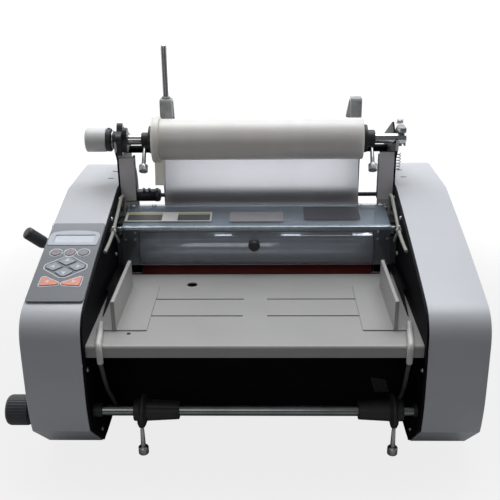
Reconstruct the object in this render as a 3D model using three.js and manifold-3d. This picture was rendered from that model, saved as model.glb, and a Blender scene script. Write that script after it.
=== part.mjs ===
// Desktop roll laminator: two painted side housings, a feed table, a heated roller pair,
// a film supply shaft on top and a second film shaft in front. Millimetres, +Z up,
// operator's side towards -Y. Heights inside the machine are counted from the side plates' feet.
import * as THREE from "three";
import { mergeVertices } from "three/addons/utils/BufferGeometryUtils.js";
import Module from "manifold-3d";

const wasm = await Module();
wasm.setup();

// ---- Driving dimensions ----
const GAP = 0.3; // clearance between pieces that touch
const FOOT_HEIGHT = 12;
const HOUSING_HALF = 305; // outer face of each painted housing
const PLATE_INNER = 222; // inner face of each side plate
const PLATE_OUTER = 225;
const SHEET = 2; // housing and table sheet
const REAR = 430;
const TOP = 310;
const TABLE_TOP = 189;
const TABLE_FRONT = -65;
const TABLE_BACK = 168;
const NIP_HEIGHT = 191; // where the film and the work pass between the rollers

const ROLLER_Y = 218;
const ROLLER_R = 28;
const ROLLER_HALF = 186;
const NIP_GAP = 1.2;
const JOURNAL_R = 9;
const UPPER_Z = NIP_HEIGHT + NIP_GAP / 2 + ROLLER_R;
const LOWER_Z = NIP_HEIGHT - NIP_GAP / 2 - ROLLER_R;
const ROLLER_LIFT = 2.5;

const ROLLER_TEETH = 28;
const IDLER_TEETH = 40;
const PULL_TEETH = 18;
const MODULE = (UPPER_Z - LOWER_Z) / ROLLER_TEETH;
const GEAR_IN = 227;
const GEAR_OUT = 235;

const PULL_R = 18;
const PULL_LOWER_Z = NIP_HEIGHT - 0.6 - PULL_R;
const PULL_UPPER_Z = NIP_HEIGHT + 0.6 + PULL_R;
const GEAR_TRAIN = (MODULE * (ROLLER_TEETH + 2 * IDLER_TEETH + PULL_TEETH)) / 2;
const TRAIN_ANGLE = Math.asin((PULL_LOWER_Z - LOWER_Z) / GEAR_TRAIN);
const PULL_Y = ROLLER_Y + GEAR_TRAIN * Math.cos(TRAIN_ANGLE);
const IDLER_REACH = (MODULE * (ROLLER_TEETH + IDLER_TEETH)) / 2;
const IDLER_Y = ROLLER_Y + IDLER_REACH * Math.cos(TRAIN_ANGLE);
const IDLER_Z = LOWER_Z + IDLER_REACH * Math.sin(TRAIN_ANGLE);

const SUPPLY_Y = 262;
const SUPPLY_Z = 385;
const SUPPLY_R = 8;
const FILM_R = 32.8;
const CORE_R = 20;
const SCREW_TILT = 40;
const BOTTOM_Y = -50;
const BOTTOM_Z = 82;
const BOTTOM_R = 7.4;

const CROSS_BAR_Z = 348;
const CROSS_BAR_R = 6.3;
const LIFT_SHAFT_Z = 394.5;
const PRESSURE_Y = 196;
const PRESSURE_Z = 256;
const CAM_R = 9;
const CAM_OFFSET = 3;
const SHIELD_ROD_Y = 256;
const SHIELD_ROD_Z = 270.2;
const BLOWER_Y = 300;
const BLOWER_Z = 280;

// ---- Geometry helpers: every one returns a solid ----
function solid(geometry) {
  const loose = geometry.index ? geometry.toNonIndexed() : geometry;
  const bare = new THREE.BufferGeometry();
  bare.setAttribute("position", loose.getAttribute("position"));
  const merged = mergeVertices(bare, 1e-4);
  const corners = merged.index.array;
  const faces = [];
  for (let i = 0; i < corners.length; i += 3) {
    const [a, b, c] = [corners[i], corners[i + 1], corners[i + 2]];
    if (a !== b && b !== c && c !== a) faces.push([a, b, c]);
  }
  const vertProperties = merged.attributes.position.array;
  const build = (list) =>
    new wasm.Manifold(new wasm.Mesh({ numProp: 3, vertProperties, triVerts: new Uint32Array(list.flat()) }));
  const made = build(faces);
  return made.volume() > 0 ? made : build(faces.map(([a, b, c]) => [a, c, b]));
}

const join = (first, ...others) => others.reduce((body, other) => body.add(other), first);
const cut = (first, ...others) => others.reduce((body, other) => body.subtract(other), first);

function box([x0, x1], [y0, y1], [z0, z1]) {
  const geometry = new THREE.BoxGeometry(x1 - x0, y1 - y0, z1 - z0);
  return solid(geometry.translate((x0 + x1) / 2, (y0 + y1) / 2, (z0 + z1) / 2));
}

function rodX([x0, x1], y, z, radius, sides = 16) {
  const geometry = new THREE.CylinderGeometry(radius, radius, x1 - x0, sides);
  return solid(geometry.rotateZ(Math.PI / 2).translate((x0 + x1) / 2, y, z));
}

function rodZ(x, y, [z0, z1], radius, sides = 12) {
  const geometry = new THREE.CylinderGeometry(radius, radius, z1 - z0, sides);
  return solid(geometry.rotateX(Math.PI / 2).translate(x, y, (z0 + z1) / 2));
}

// A body of revolution about a line along X. Each profile point is [x, radius].
function turnedX(profile, y, z, sides = 20) {
  const points = profile.map(([x, radius]) => new THREE.Vector2(radius, x));
  const geometry = new THREE.LatheGeometry(points, sides);
  return solid(geometry.rotateZ(-Math.PI / 2).translate(0, y, z));
}

// The same about an upright line. Each profile point is [height, radius].
function turnedZ(profile, x, y, sides = 16) {
  const points = profile.map(([height, radius]) => new THREE.Vector2(radius, height));
  return solid(new THREE.LatheGeometry(points, sides).rotateX(Math.PI / 2).translate(x, y, 0));
}

// An outline of [y, z] points, extruded along X.
function plateX(points, [x0, x1]) {
  const shape = new THREE.Shape(points.map(([y, z]) => new THREE.Vector2(y, z)));
  const geometry = new THREE.ExtrudeGeometry(shape, { depth: x1 - x0, bevelEnabled: false });
  const toSide = new THREE.Matrix4().makeBasis(
    new THREE.Vector3(0, 1, 0), new THREE.Vector3(0, 0, 1), new THREE.Vector3(1, 0, 0));
  return solid(geometry.applyMatrix4(toSide).translate(x0, 0, 0));
}

// A round tube along a smooth route of [x, y, z] points.
function tube(route, radius, steps, sides = 8) {
  const path = new THREE.CatmullRomCurve3(route.map((p) => new THREE.Vector3(...p)), false, "centripetal");
  const section = new THREE.Shape();
  for (let i = 0; i < sides; i += 1) {
    const angle = (2 * Math.PI * i) / sides;
    const corner = [radius * Math.cos(angle), radius * Math.sin(angle)];
    if (i === 0) section.moveTo(...corner);
    else section.lineTo(...corner);
  }
  return solid(new THREE.ExtrudeGeometry(section, { steps, extrudePath: path, bevelEnabled: false }));
}

// Moves a polygon's edges inwards. Its points run clockwise in the Y-Z plane seen from +X.
function inset(points, distance) {
  const count = points.length;
  return points.map(([y, z], i) => {
    const [py, pz] = points[(i + count - 1) % count];
    const [ny, nz] = points[(i + 1) % count];
    const before = new THREE.Vector2(z - pz, py - y).normalize();
    const after = new THREE.Vector2(nz - z, y - ny).normalize();
    const middle = before.clone().add(after);
    middle.multiplyScalar((2 * distance) / middle.lengthSq());
    return [y + middle.x, z + middle.y];
  });
}

// A sheet of even thickness that follows a line of [y, z] points, extruded along X.
function sheetX(line, thickness, span) {
  const normals = line.map((point, i) => {
    const [ay, az] = line[Math.max(i - 1, 0)];
    const [by, bz] = line[Math.min(i + 1, line.length - 1)];
    return new THREE.Vector2(az - bz, by - ay).normalize().multiplyScalar(thickness / 2);
  });
  const upper = line.map(([y, z], i) => [y + normals[i].x, z + normals[i].y]);
  const lower = line.map(([y, z], i) => [y - normals[i].x, z - normals[i].y]);
  return plateX([...upper, ...lower.reverse()], span);
}

const mirrored = (span, side) => (side > 0 ? span : [-span[1], -span[0]]);

// ---- Materials ----
const finish = (color, roughness, metalness) =>
  new THREE.MeshStandardMaterial({ color, roughness, metalness });
const HOUSING_PAINT = finish(0xc9cad2, 0.5, 0.1);
const TABLE_PAINT = finish(0xe4ddd3, 0.5, 0.1);
const BLACK_STEEL = finish(0x17171a, 0.5, 0.3);
const CHROME = finish(0xc8ccd0, 0.15, 1);
const CAST = finish(0x75787b, 0.6, 0.6);
const BLACK_PLASTIC = finish(0x1c1d20, 0.5, 0);
const GREY_PLASTIC = finish(0xb0b0ad, 0.55, 0);
const PANEL_FILM = finish(0x4c525e, 0.45, 0);
const KEY_GREY = finish(0x606a76, 0.4, 0);
const KEY_ORANGE = finish(0xe4623c, 0.4, 0);
const SILICONE = finish(0x7c1c18, 0.6, 0);
const FILM = finish(0xe9e4da, 0.35, 0);
const CLEAR = finish(0xdfe8ee, 0.1, 0);
const CABLE_GREY = finish(0xa3a49c, 0.6, 0);
const SLEEVE_WHITE = finish(0xd9d8d2, 0.5, 0);
const FOOT_RUBBER = finish(0x141414, 0.9, 0);

// Everything above the desk hangs in this group, so heights inside start at the side plates' feet.
const machine = new THREE.Group();
machine.position.z = FOOT_HEIGHT;

function part(name, body, material) {
  const { vertProperties, triVerts } = body.getMesh();
  const indexed = new THREE.BufferGeometry();
  indexed.setAttribute("position", new THREE.BufferAttribute(Float32Array.from(vertProperties), 3));
  indexed.setIndex(new THREE.BufferAttribute(Uint32Array.from(triVerts), 1));
  const geometry = indexed.toNonIndexed();
  geometry.computeVertexNormals();
  const mesh = new THREE.Mesh(geometry, material);
  mesh.name = name;
  machine.add(mesh);
}

// ---- Side housings and frame ----
function housingOutline() {
  const outline = new THREE.Shape();
  outline.moveTo(-5, 0);
  outline.lineTo(-68, 59);
  outline.quadraticCurveTo(-77, 92, -75.5, 130);
  outline.quadraticCurveTo(-75, 165, -73.5, 196);
  outline.quadraticCurveTo(-70, 231, -37, 239);
  outline.quadraticCurveTo(80, 274, 244, TOP);
  outline.lineTo(376, TOP);
  outline.quadraticCurveTo(REAR, TOP, REAR, TOP - 54);
  outline.lineTo(REAR, 0);
  return outline.getPoints(6).map((point) => [point.x, point.y]);
}
const OUTLINE = housingOutline();

function addHousing(side, name) {
  const skin = plateX(OUTLINE, mirrored([PLATE_OUTER + GAP, HOUSING_HALF], side));
  const room = plateX(inset(OUTLINE, SHEET), mirrored([PLATE_OUTER - 1, HOUSING_HALF - SHEET], side));
  const mouth = box(mirrored([PLATE_OUTER - 1, HOUSING_HALF - SHEET], side), [4, REAR - SHEET], [-5, 8]);
  const vents = [299, 341].map((y) => box(mirrored([241, 250], side), [y - 2, y + 2], [TOP - 6, TOP + 6]));
  const shafts = side > 0 ? [] : [
    rodX([-320, -290], BOTTOM_Y, BOTTOM_Z, BOTTOM_R + GAP),
    rodX([-320, -290], PRESSURE_Y, PRESSURE_Z, 5.5 + GAP),
  ];
  part(name, cut(skin, room, mouth, ...vents, ...shafts), HOUSING_PAINT);
}

function sidePlateOutline() {
  const inside = inset(OUTLINE, 1);
  const front = inside.filter(([y]) => y < 240);
  const rear = inside.filter(([y]) => y > 385);
  const cradle = [];
  for (let i = 0; i <= 8; i += 1) {
    const angle = Math.PI + (Math.PI * i) / 8;
    cradle.push([SUPPLY_Y + 8.6 * Math.cos(angle), SUPPLY_Z + 8.6 * Math.sin(angle)]);
  }
  return [
    ...front, [258, 309], [258, 352], [248, 366], [248, SUPPLY_Z + 1], ...cradle,
    [300, 403], [377, 367], [384, 305], ...rear,
  ];
}

function addSidePlate(side, name) {
  const wall = mirrored([PLATE_INNER, PLATE_OUTER], side);
  const drill = (y, z, radius) => rodX(mirrored([PLATE_INNER - 1, PLATE_OUTER + 1], side), y, z,
    radius + GAP);
  const slot = box(mirrored([PLATE_INNER - 1, PLATE_OUTER + 1], side),
    [ROLLER_Y - JOURNAL_R - GAP, ROLLER_Y + JOURNAL_R + GAP], [UPPER_Z, UPPER_Z + ROLLER_LIFT]);
  const openings = [
    slot, drill(ROLLER_Y, UPPER_Z, JOURNAL_R), drill(ROLLER_Y, UPPER_Z + ROLLER_LIFT, JOURNAL_R),
    drill(ROLLER_Y, LOWER_Z, JOURNAL_R), drill(PULL_Y, PULL_LOWER_Z, 7), drill(PRESSURE_Y, PRESSURE_Z, 5.5),
    drill(SHIELD_ROD_Y, SHIELD_ROD_Z, 4), drill(PULL_Y, CROSS_BAR_Z, CROSS_BAR_R),
    drill(BOTTOM_Y, BOTTOM_Z, BOTTOM_R), drill(BLOWER_Y, BLOWER_Z, 3.5),
  ];
  if (side > 0) openings.push(drill(IDLER_Y, IDLER_Z, 6));
  const sill = box(mirrored([PLATE_INNER, 300], side), [12, 415], [0, 3]);
  const postTop = side > 0 ? 364 : 356;
  const postFlange = box(mirrored([198, PLATE_INNER + 0.5], side), [258, 261], [283, postTop]);
  const postRib = box(mirrored([198, 201], side), [258, 276], [283, 356]);
  const rail = plateX([[20, 190], [80, 208], [176, 208], [176, 190]], mirrored([213.8, 215], side));
  const railShelf = box(mirrored([213.8, PLATE_INNER + 0.5], side), [90, 176], [198, 199.5]);
  const wallAndSill = join(cut(plateX(sidePlateOutline(), wall), ...openings), sill);
  part(name, join(wallAndSill, postFlange, postRib, railShelf, rail), BLACK_STEEL);
}

function addBase() {
  const span = [-(PLATE_INNER - GAP), PLATE_INNER - GAP];
  const floor = box(span, [57, 424], [1, 3]);
  const front = box(span, [57, 59], [1, 176]);
  part("base_pan", join(floor, front), BLACK_STEEL);
  const back = cut(box(span, [425, 427], [1, 186]),
    box([149, 179], [420, 430], [40, 66]), box([112, 134], [420, 430], [40, 66]));
  const exitTable = box(span, [PULL_Y + 24, 427], [184, 186]);
  part("rear_panel", join(back, exitTable), BLACK_STEEL);
  const flange = box([145, 183], [427 + GAP, 430], [34, 72]);
  const socket = cut(join(flange, box([149.4, 178.6], [400, 428], [40.4, 65.6])),
    box([153, 175], [405, 431], [45, 61]));
  part("power_inlet", socket, BLACK_PLASTIC);
  const rockerTop = box([113, 133], [424.5, 430], [42, 64]);
  const rockerBarrel = rodX([113, 133], 422, 53, 5);
  part("power_switch", join(rockerTop, rockerBarrel), BLACK_PLASTIC);
}

function addFeet() {
  for (const [name, x, y] of [["front_left", -262, 50], ["front_right", 262, 50],
    ["rear_left", -262, 380], ["rear_right", 262, 380]]) {
    const profile = [[-FOOT_HEIGHT, 0], [-FOOT_HEIGHT, 15], [-FOOT_HEIGHT + 2, 16], [-GAP, 13], [-GAP, 0]];
    part(`foot_${name}`, turnedZ(profile, x, y), FOOT_RUBBER);
  }
}

// ---- Control panel on the left housing's slope ----
// The panel lies flat on the slope, in its own axes: u across, v up the slope, w out of it.
const SLOPE_START = [-37, 239];
const SLOPE_TILT = THREE.MathUtils.degToRad(14.9);
const PANEL_LIFT = 3.2;

function onPanel(body) {
  const place = new THREE.Matrix4().makeRotationX(SLOPE_TILT);
  place.setPosition(0, SLOPE_START[0], SLOPE_START[1]);
  return body.transform(place.elements);
}

function outlineW(points, [w0, w1]) {
  const shape = new THREE.Shape(points.map(([u, v]) => new THREE.Vector2(u, v)));
  const geometry = new THREE.ExtrudeGeometry(shape, { depth: w1 - w0, bevelEnabled: false });
  return solid(geometry.translate(0, 0, w0));
}

const KEY_SINK = 0.9; // how far a key's skirt reaches below the panel's face
const KEY_RISE = 1;

function keyOutlines() {
  const keys = {};
  for (const [name, u] of [["left", -284], ["middle", -263.7], ["right", -244.3]]) {
    keys[`round_key_${name}`] = arc(u, 106.5, 7.4, 0, 2 * Math.PI, 16).slice(0, -1);
  }
  const [cu, cv] = [-263.4, 73.3];
  keys.arrow_key_up = [[cu - 13, cv + 12], [cu, cv + 2.5], [cu + 13, cv + 12], [cu + 3, cv + 21.5],
    [cu - 3, cv + 21.5]];
  keys.arrow_key_down = keys.arrow_key_up.map(([u, v]) => [u, 2 * cv - v]);
  keys.arrow_key_left = [[cu - 16, cv + 9.5], [cu - 27, cv + 3], [cu - 27, cv - 3], [cu - 16, cv - 9.5],
    [cu - 3.5, cv]];
  keys.arrow_key_right = keys.arrow_key_left.map(([u, v]) => [2 * cu - u, v]);
  keys.stop_key = [[-291.5, 30.7], [-267, 33.2], [-266, 37.7], [-287.5, 50.7], [-290.5, 49.7]];
  keys.start_key = [[-260.5, 33.2], [-236.5, 30.7], [-235.5, 49.7], [-238.5, 50.7], [-261.5, 37.7]];
  return keys;
}

function arc(cy, cz, radius, from, to, steps) {
  const points = [];
  for (let i = 0; i <= steps; i += 1) {
    const angle = from + ((to - from) * i) / steps;
    points.push([cy + radius * Math.cos(angle), cz + radius * Math.sin(angle)]);
  }
  return points;
}

const centreOf = (points) => {
  const box2 = new THREE.Box2().setFromPoints(points.map(([u, v]) => new THREE.Vector2(u, v)));
  return box2.getCenter(new THREE.Vector2());
};

function grown(points, extra) {
  const centre = centreOf(points);
  const size = new THREE.Box2().setFromPoints(points.map((p) => new THREE.Vector2(...p)))
    .getSize(new THREE.Vector2());
  const scale = new THREE.Vector2(1 + (2 * extra) / size.x, 1 + (2 * extra) / size.y);
  return points.map(([u, v]) => [centre.x + (u - centre.x) * scale.x, centre.y + (v - centre.y) * scale.y]);
}

function addControlPanel() {
  let plate = box([-303, -225], [-1, 180], [PANEL_LIFT - 1.6, PANEL_LIFT]);
  plate = cut(plate, box([-293.5, -233.7], [129.5, 149.6], [PANEL_LIFT - 0.8, PANEL_LIFT + 1]));
  for (const [name, outline] of Object.entries(keyOutlines())) {
    plate = cut(plate, outlineW(grown(outline, 0.6), [PANEL_LIFT - KEY_SINK, PANEL_LIFT + 2]));
    const keyFloor = PANEL_LIFT - KEY_SINK + 0.6;
    const key = outlineW(outline, [keyFloor, PANEL_LIFT + KEY_RISE]);
    part(name, onPanel(key), name.includes("st") && !name.includes("round") ? KEY_ORANGE : KEY_GREY);
  }
  part("control_panel", onPanel(plate), PANEL_FILM);
}

// ---- Feed table and side guides ----
function addTable() {
  const half = PLATE_INNER - GAP;
  let table = join(box([-half, half], [TABLE_FRONT, TABLE_BACK], [TABLE_TOP - SHEET, TABLE_TOP]),
    box([-half, half], [TABLE_FRONT, TABLE_FRONT + SHEET], [TABLE_TOP - 17, TABLE_TOP]),
    box([-half, half], [TABLE_BACK - SHEET, TABLE_BACK], [TABLE_TOP - 12, TABLE_TOP]));
  for (const y of [24, 79]) {
    for (const side of [-1, 1]) {
      table = cut(table, box(mirrored([17, 178], side), [y - 1.6, y + 1.6], [TABLE_TOP - 5, TABLE_TOP + 5]));
    }
  }
  table = cut(table, rodZ(-98, 131.5, [TABLE_TOP - 5, TABLE_TOP + 5], 8),
    rodZ(-170, -29, [TABLE_TOP - 5, TABLE_TOP + 5], 3, 12));
  part("feed_table", table, TABLE_PAINT);
  for (const [name, side] of [["left", -1], ["right", 1]]) {
    const foot = box(mirrored([146.6, 206], side), [-22, 123], [TABLE_TOP + GAP, TABLE_TOP + GAP + 1.5]);
    const fence = box(mirrored([188, 193.5], side), [-22, 123], [TABLE_TOP + GAP, 233]);
    part(`${name}_side_guide`, join(foot, fence), TABLE_PAINT);
  }
}

// ---- Gears ----
const TAN20 = Math.tan(THREE.MathUtils.degToRad(20));

function gearX(teeth, phase, y, z, span) {
  const pitchR = (MODULE * teeth) / 2;
  const tooth = (radius) => (0.21 * Math.PI * MODULE - TAN20 * (radius - pitchR)) / radius;
  const [rootR, tipR] = [pitchR - 1.25 * MODULE, pitchR + MODULE];
  const points = [];
  for (let i = 0; i < teeth; i += 1) {
    const middle = phase + (2 * Math.PI * i) / teeth;
    for (const [radius, side] of [[rootR, -1], [tipR, -1], [tipR, 1], [rootR, 1]]) {
      const angle = middle + side * tooth(radius);
      points.push([y + radius * Math.cos(angle), z + radius * Math.sin(angle)]);
    }
  }
  return plateX(points, span);
}

// The phase that puts a gear's gap on its driver's tooth, the driver lying at the angle given.
function meshPhase(driverPhase, driverTeeth, teeth, direction) {
  const offset = driverPhase - direction;
  return direction + Math.PI - (offset * driverTeeth) / teeth + Math.PI / teeth;
}

const LOWER_PHASE = Math.PI / 2;
const UPPER_PHASE = meshPhase(LOWER_PHASE, ROLLER_TEETH, ROLLER_TEETH, Math.PI / 2);
const IDLER_PHASE = meshPhase(LOWER_PHASE, ROLLER_TEETH, IDLER_TEETH, TRAIN_ANGLE);
const PULL_PHASE = meshPhase(IDLER_PHASE, IDLER_TEETH, PULL_TEETH, TRAIN_ANGLE);

// ---- Rollers and drive ----
function roller(half, radius, journalR, [left, right], y, z) {
  return turnedX([[left, 0], [left, journalR], [-half, journalR], [-half, radius], [half, radius],
    [half, journalR], [right, journalR], [right, 0]], y, z);
}

function addRollers() {
  const upper = roller(ROLLER_HALF, ROLLER_R, JOURNAL_R, [-228, GEAR_OUT + 3], ROLLER_Y, UPPER_Z);
  const lower = roller(ROLLER_HALF, ROLLER_R, JOURNAL_R, [-228, GEAR_OUT + 3], ROLLER_Y, LOWER_Z);
  const pull = roller(ROLLER_HALF, PULL_R, 7, [-228, GEAR_OUT + 3], PULL_Y, PULL_LOWER_Z);
  const gearSpan = [GEAR_IN, GEAR_OUT];
  part("upper_roller", join(upper, gearX(ROLLER_TEETH, UPPER_PHASE, ROLLER_Y, UPPER_Z, gearSpan)), CHROME);
  part("lower_roller", join(lower, gearX(ROLLER_TEETH, LOWER_PHASE, ROLLER_Y, LOWER_Z, gearSpan)), SILICONE);
  part("lower_pull_roller", join(pull, gearX(PULL_TEETH, PULL_PHASE, PULL_Y, PULL_LOWER_Z, gearSpan)),
    BLACK_PLASTIC);
  const stub = rodX([PLATE_INNER - 3, GEAR_IN + 1], IDLER_Y, IDLER_Z, 6);
  part("idler_gear", join(stub, gearX(IDLER_TEETH, IDLER_PHASE, IDLER_Y, IDLER_Z, gearSpan)), BLACK_PLASTIC);
  const motorFace = GEAR_OUT + 3 + GAP;
  part("drive_motor", turnedX([[motorFace, 0], [motorFace, 26], [motorFace + 22, 26], [motorFace + 22, 31],
    [298, 31], [298, 0]], ROLLER_Y, LOWER_Z), CAST);
}

function addBearingBlocks() {
  const ledge = PRESSURE_Z - (CAM_R + CAM_OFFSET * Math.SQRT1_2) - GAP;
  for (const [name, side] of [["left", -1], ["right", 1]]) {
    const span = mirrored([188.5, PLATE_INNER - GAP], side);
    const body = box(span, [190, 246], [198, 262]);
    const cutaway = box(mirrored([180, 230], side), [185, 210], [ledge, 270]);
    const bore = rodX(mirrored([180, 230], side), ROLLER_Y, UPPER_Z, JOURNAL_R + GAP);
    part(`${name}_bearing_block`, cut(body, cutaway, bore), BLACK_PLASTIC);
  }
}

function addPressureLever() {
  const shaft = rodX([-322, PLATE_INNER + 2], PRESSURE_Y, PRESSURE_Z, 5.5);
  const [camY, camZ] = [PRESSURE_Y - CAM_OFFSET * Math.SQRT1_2, PRESSURE_Z - CAM_OFFSET * Math.SQRT1_2];
  const cams = [-1, 1].map((side) => rodX(mirrored([211, 221], side), camY, camZ, CAM_R));
  const hub = rodX([-322, HOUSING_HALF * -1 - 1.5], PRESSURE_Y, PRESSURE_Z, 11);
  const arm = tube([[-315, PRESSURE_Y, PRESSURE_Z], [-315.5, 168, 252.5], [-316, 146, 249]], 4.6, 6, 12);
  part("pressure_shaft", join(shaft, ...cams, hub, arm), CHROME);
  const handle = tube([[-318.6, 130.7, 257.8], [-328.6, 123.8, 269.1], [-338.6, 117, 280.4]], 9.5, 6, 16);
  const knuckle = tube([[-316.2, 145.5, 248.9], [-317, 138, 250.5], [-321, 129, 260.5]], 6.2, 8, 12);
  const socket = tube([[-315.5, 168, 252.5], [-316, 146, 249], [-316.8, 140, 249.6]], 4.9, 6, 12);
  part("pressure_grip", cut(join(handle, knuckle), socket), BLACK_PLASTIC);
}

// ---- Clear shield over the heated roller ----
function addShield() {
  const line = [[258, 276.2], [188, 265.6], ...arc(188.6, 260, 5.4, 1.75, Math.PI - 0.03, 5), [182, 203]];
  const sheet = sheetX(line.map(([y, z]) => [y, z]), 2.5, [-209.5, 209.5]);
  part("shield", sheet, CLEAR);
  const knobFace = 180;
  const knob = new THREE.CylinderGeometry(9, 9, 12, 24).translate(-3, knobFace - 6, 236);
  part("shield_knob", solid(knob), BLACK_PLASTIC);
  const rodLength = PLATE_OUTER - 0.5;
  part("shield_rod", rodX([-rodLength, rodLength], SHIELD_ROD_Y, SHIELD_ROD_Z, 4, 16), CHROME);
}

// ---- Film supply on top ----
function thumbScrew(x, y, from, to) {
  const shank = rodZ(x, y, [to + 12, from], 2.8, 8);
  const head = turnedZ([[to, 0], [to, 6], [to + 1, 7], [to + 13, 7], [to + 15, 5], [to + 15, 0]], x, y, 12);
  return join(shank, head);
}

function addSupply() {
  const sides = SUPPLY_R + GAP;
  part("supply_shaft", rodX([-231, 239], SUPPLY_Y, SUPPLY_Z, SUPPLY_R), CHROME);
  const bore = CORE_R;
  part("film_roll", turnedX([[-164.5, bore], [-164.5, 36.5], [-152.5, 36.5], [-152.5, FILM_R], [169.5,
    FILM_R],
    [169.5, bore], [-164.5, bore]], SUPPLY_Y, SUPPLY_Z, 32), FILM);
  const tilt = (shape) => shape.translate(0, -SUPPLY_Y, -SUPPLY_Z).rotate(-SCREW_TILT, 0, 0)
    .translate(0, SUPPLY_Y, SUPPLY_Z);
  const chucks = [["left", -1, 165, 170.5, 183, 11.5], ["right", 1, 170.5, 176.5, 189, 13.5]];
  for (const [name, side, inner, flange, end, hub] of chucks) {
    const chuck = turnedX([[end, sides], [end, hub - 1], [end - 1, hub], [flange, hub], [flange, 22],
      [inner, 22],
      [inner, CORE_R - GAP], [150, CORE_R - 1.5], [148, sides], [end, sides]].map(([x, r]) => [side * x, r]),
    SUPPLY_Y, SUPPLY_Z);
    const screw = thumbScrew(side * (end - 5), SUPPLY_Y, SUPPLY_Z - 9.5, SUPPLY_Z - 56);
    part(`${name}_supply_chuck`, join(chuck, tilt(screw)), BLACK_PLASTIC);
  }
  const lobes = [];
  for (let i = 0; i < 40; i += 1) {
    const angle = (2 * Math.PI * i) / 40;
    const radius = 23 + 4 * Math.cos(5 * angle - Math.PI / 2);
    lobes.push([SUPPLY_Y + radius * Math.cos(angle), SUPPLY_Z + radius * Math.sin(angle)]);
  }
  part("brake_star", cut(plateX(lobes, [-221.3, -205]), rodX([-230, -200], SUPPLY_Y, SUPPLY_Z, sides)),
    BLACK_PLASTIC);
  part("brake_knob", turnedX([[-272, 0], [-272, 17], [-270, 19], [-240, 19], [-238, 17.5], [-238, 18.5],
    [-231.4, 18.5], [-231.4, 0]], SUPPLY_Y, SUPPLY_Z, 24), GREY_PLASTIC);
}

// A swinging catch that keeps the supply shaft down in its right-hand cradle.
function addLatch() {
  const outline = [[250, 396], [250, 404], [276, 404], [296, 392], [296, 366], [284, 366], [280, 394.5]];
  const catchPlate = plateX(outline, [227, 237]);
  const pivot = rodX([PLATE_OUTER + 0.5, 240], 290, 373, 4, 16);
  part("shaft_latch", join(catchPlate, pivot), CAST);
}

// ---- Film path: roll, slack loop, round the heated roller, through both nips and out ----
function addFilm() {
  const wrapR = ROLLER_R + NIP_GAP / 2 + 0.1;
  const liftedZ = UPPER_Z + ROLLER_LIFT + 1;
  const slack = new THREE.CubicBezierCurve(new THREE.Vector2(SUPPLY_Y + 37.2, SUPPLY_Z),
    new THREE.Vector2(297.5, 290),
    new THREE.Vector2(276, 250), new THREE.Vector2(ROLLER_Y, liftedZ + wrapR));
  const line = slack.getPoints(16).map((p) => [p.x, p.y]);
  line.push(...arc(ROLLER_Y, liftedZ, wrapR, Math.PI / 2, Math.PI, 10).slice(1));
  line.push(...arc(ROLLER_Y, UPPER_Z, wrapR, Math.PI, 1.5 * Math.PI, 10));
  line.push([PULL_Y, NIP_HEIGHT], [420, NIP_HEIGHT]);
  line[line.length - 3] = [ROLLER_Y, NIP_HEIGHT];
  part("film_web", sheetX(line, 0.4, [-169.5, 169]), FILM);
}

// ---- Rear pull rollers' arms, cross bar and lift lever ----
function addPullArms() {
  const crossHalf = PLATE_OUTER - 0.5;
  part("rear_cross_bar", rodX([-crossHalf, crossHalf], PULL_Y, CROSS_BAR_Z, CROSS_BAR_R), BLACK_STEEL);
  const outline = [[-9, 198], [9, 198], [11, 230], [11, 320], [15, 340], [15, 358], [12, 380], [12, 432],
    [9, 435],
    [-9, 435], [-12, 432], [-12, 380], [-15, 358], [-15, 340], [-11, 320], [-11, 230]];
  for (const [name, x0, x1] of [["left", -162, -141], ["right", 157, 176]]) {
    const blank = plateX(outline.map(([y, z]) => [PULL_Y + y, z]).reverse(), [x0, x1]);
    const around = [x0 - 1, x1 + 1];
    part(`${name}_pull_arm`, cut(blank, rodX(around, PULL_Y, CROSS_BAR_Z, CROSS_BAR_R + GAP),
      rodX(around, PULL_Y, LIFT_SHAFT_Z, 5 + GAP), rodX(around, PULL_Y, PULL_UPPER_Z, 5 + GAP),
      rodZ((x0 + x1) / 2, PULL_Y, [LIFT_SHAFT_Z, 440], 5.3 + GAP)), CAST);
  }
  const bar = rodX([-164, 178], PULL_Y, LIFT_SHAFT_Z, 5, 16);
  const lever = rodZ(-151.5, PULL_Y, [LIFT_SHAFT_Z, 524], 5.3);
  const collars = [rodX([-140.7, -134], PULL_Y, LIFT_SHAFT_Z, 9), rodX([150, 156.7], PULL_Y,
    LIFT_SHAFT_Z, 9)];
  part("lift_shaft", join(bar, lever, ...collars), CHROME);
  part("upper_pull_roller", turnedX([[-163, 0], [-163, 5], [-139, 5], [-139, PULL_R], [155, PULL_R],
    [155, 5], [177, 5], [177, 0]], PULL_Y, PULL_UPPER_Z), BLACK_PLASTIC);
}

// ---- Cooling blower behind the film ----
function addBlower() {
  const face = PLATE_INNER - GAP;
  part("blower_motor", turnedX([[-face, 0], [-face, 11], [-165, 11], [-163, 9], [-163, 0]], BLOWER_Y,
    BLOWER_Z, 16),
    BLACK_PLASTIC);
  part("blower_rotor", turnedX([[-162.7, 0], [-162.7, 3.5], [-150, 3.5], [-150, 14], [165, 14], [165, 3.5],
    [PLATE_OUTER - 0.5, 3.5], [PLATE_OUTER - 0.5, 0]], BLOWER_Y, BLOWER_Z, 16), BLACK_PLASTIC);
}

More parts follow.
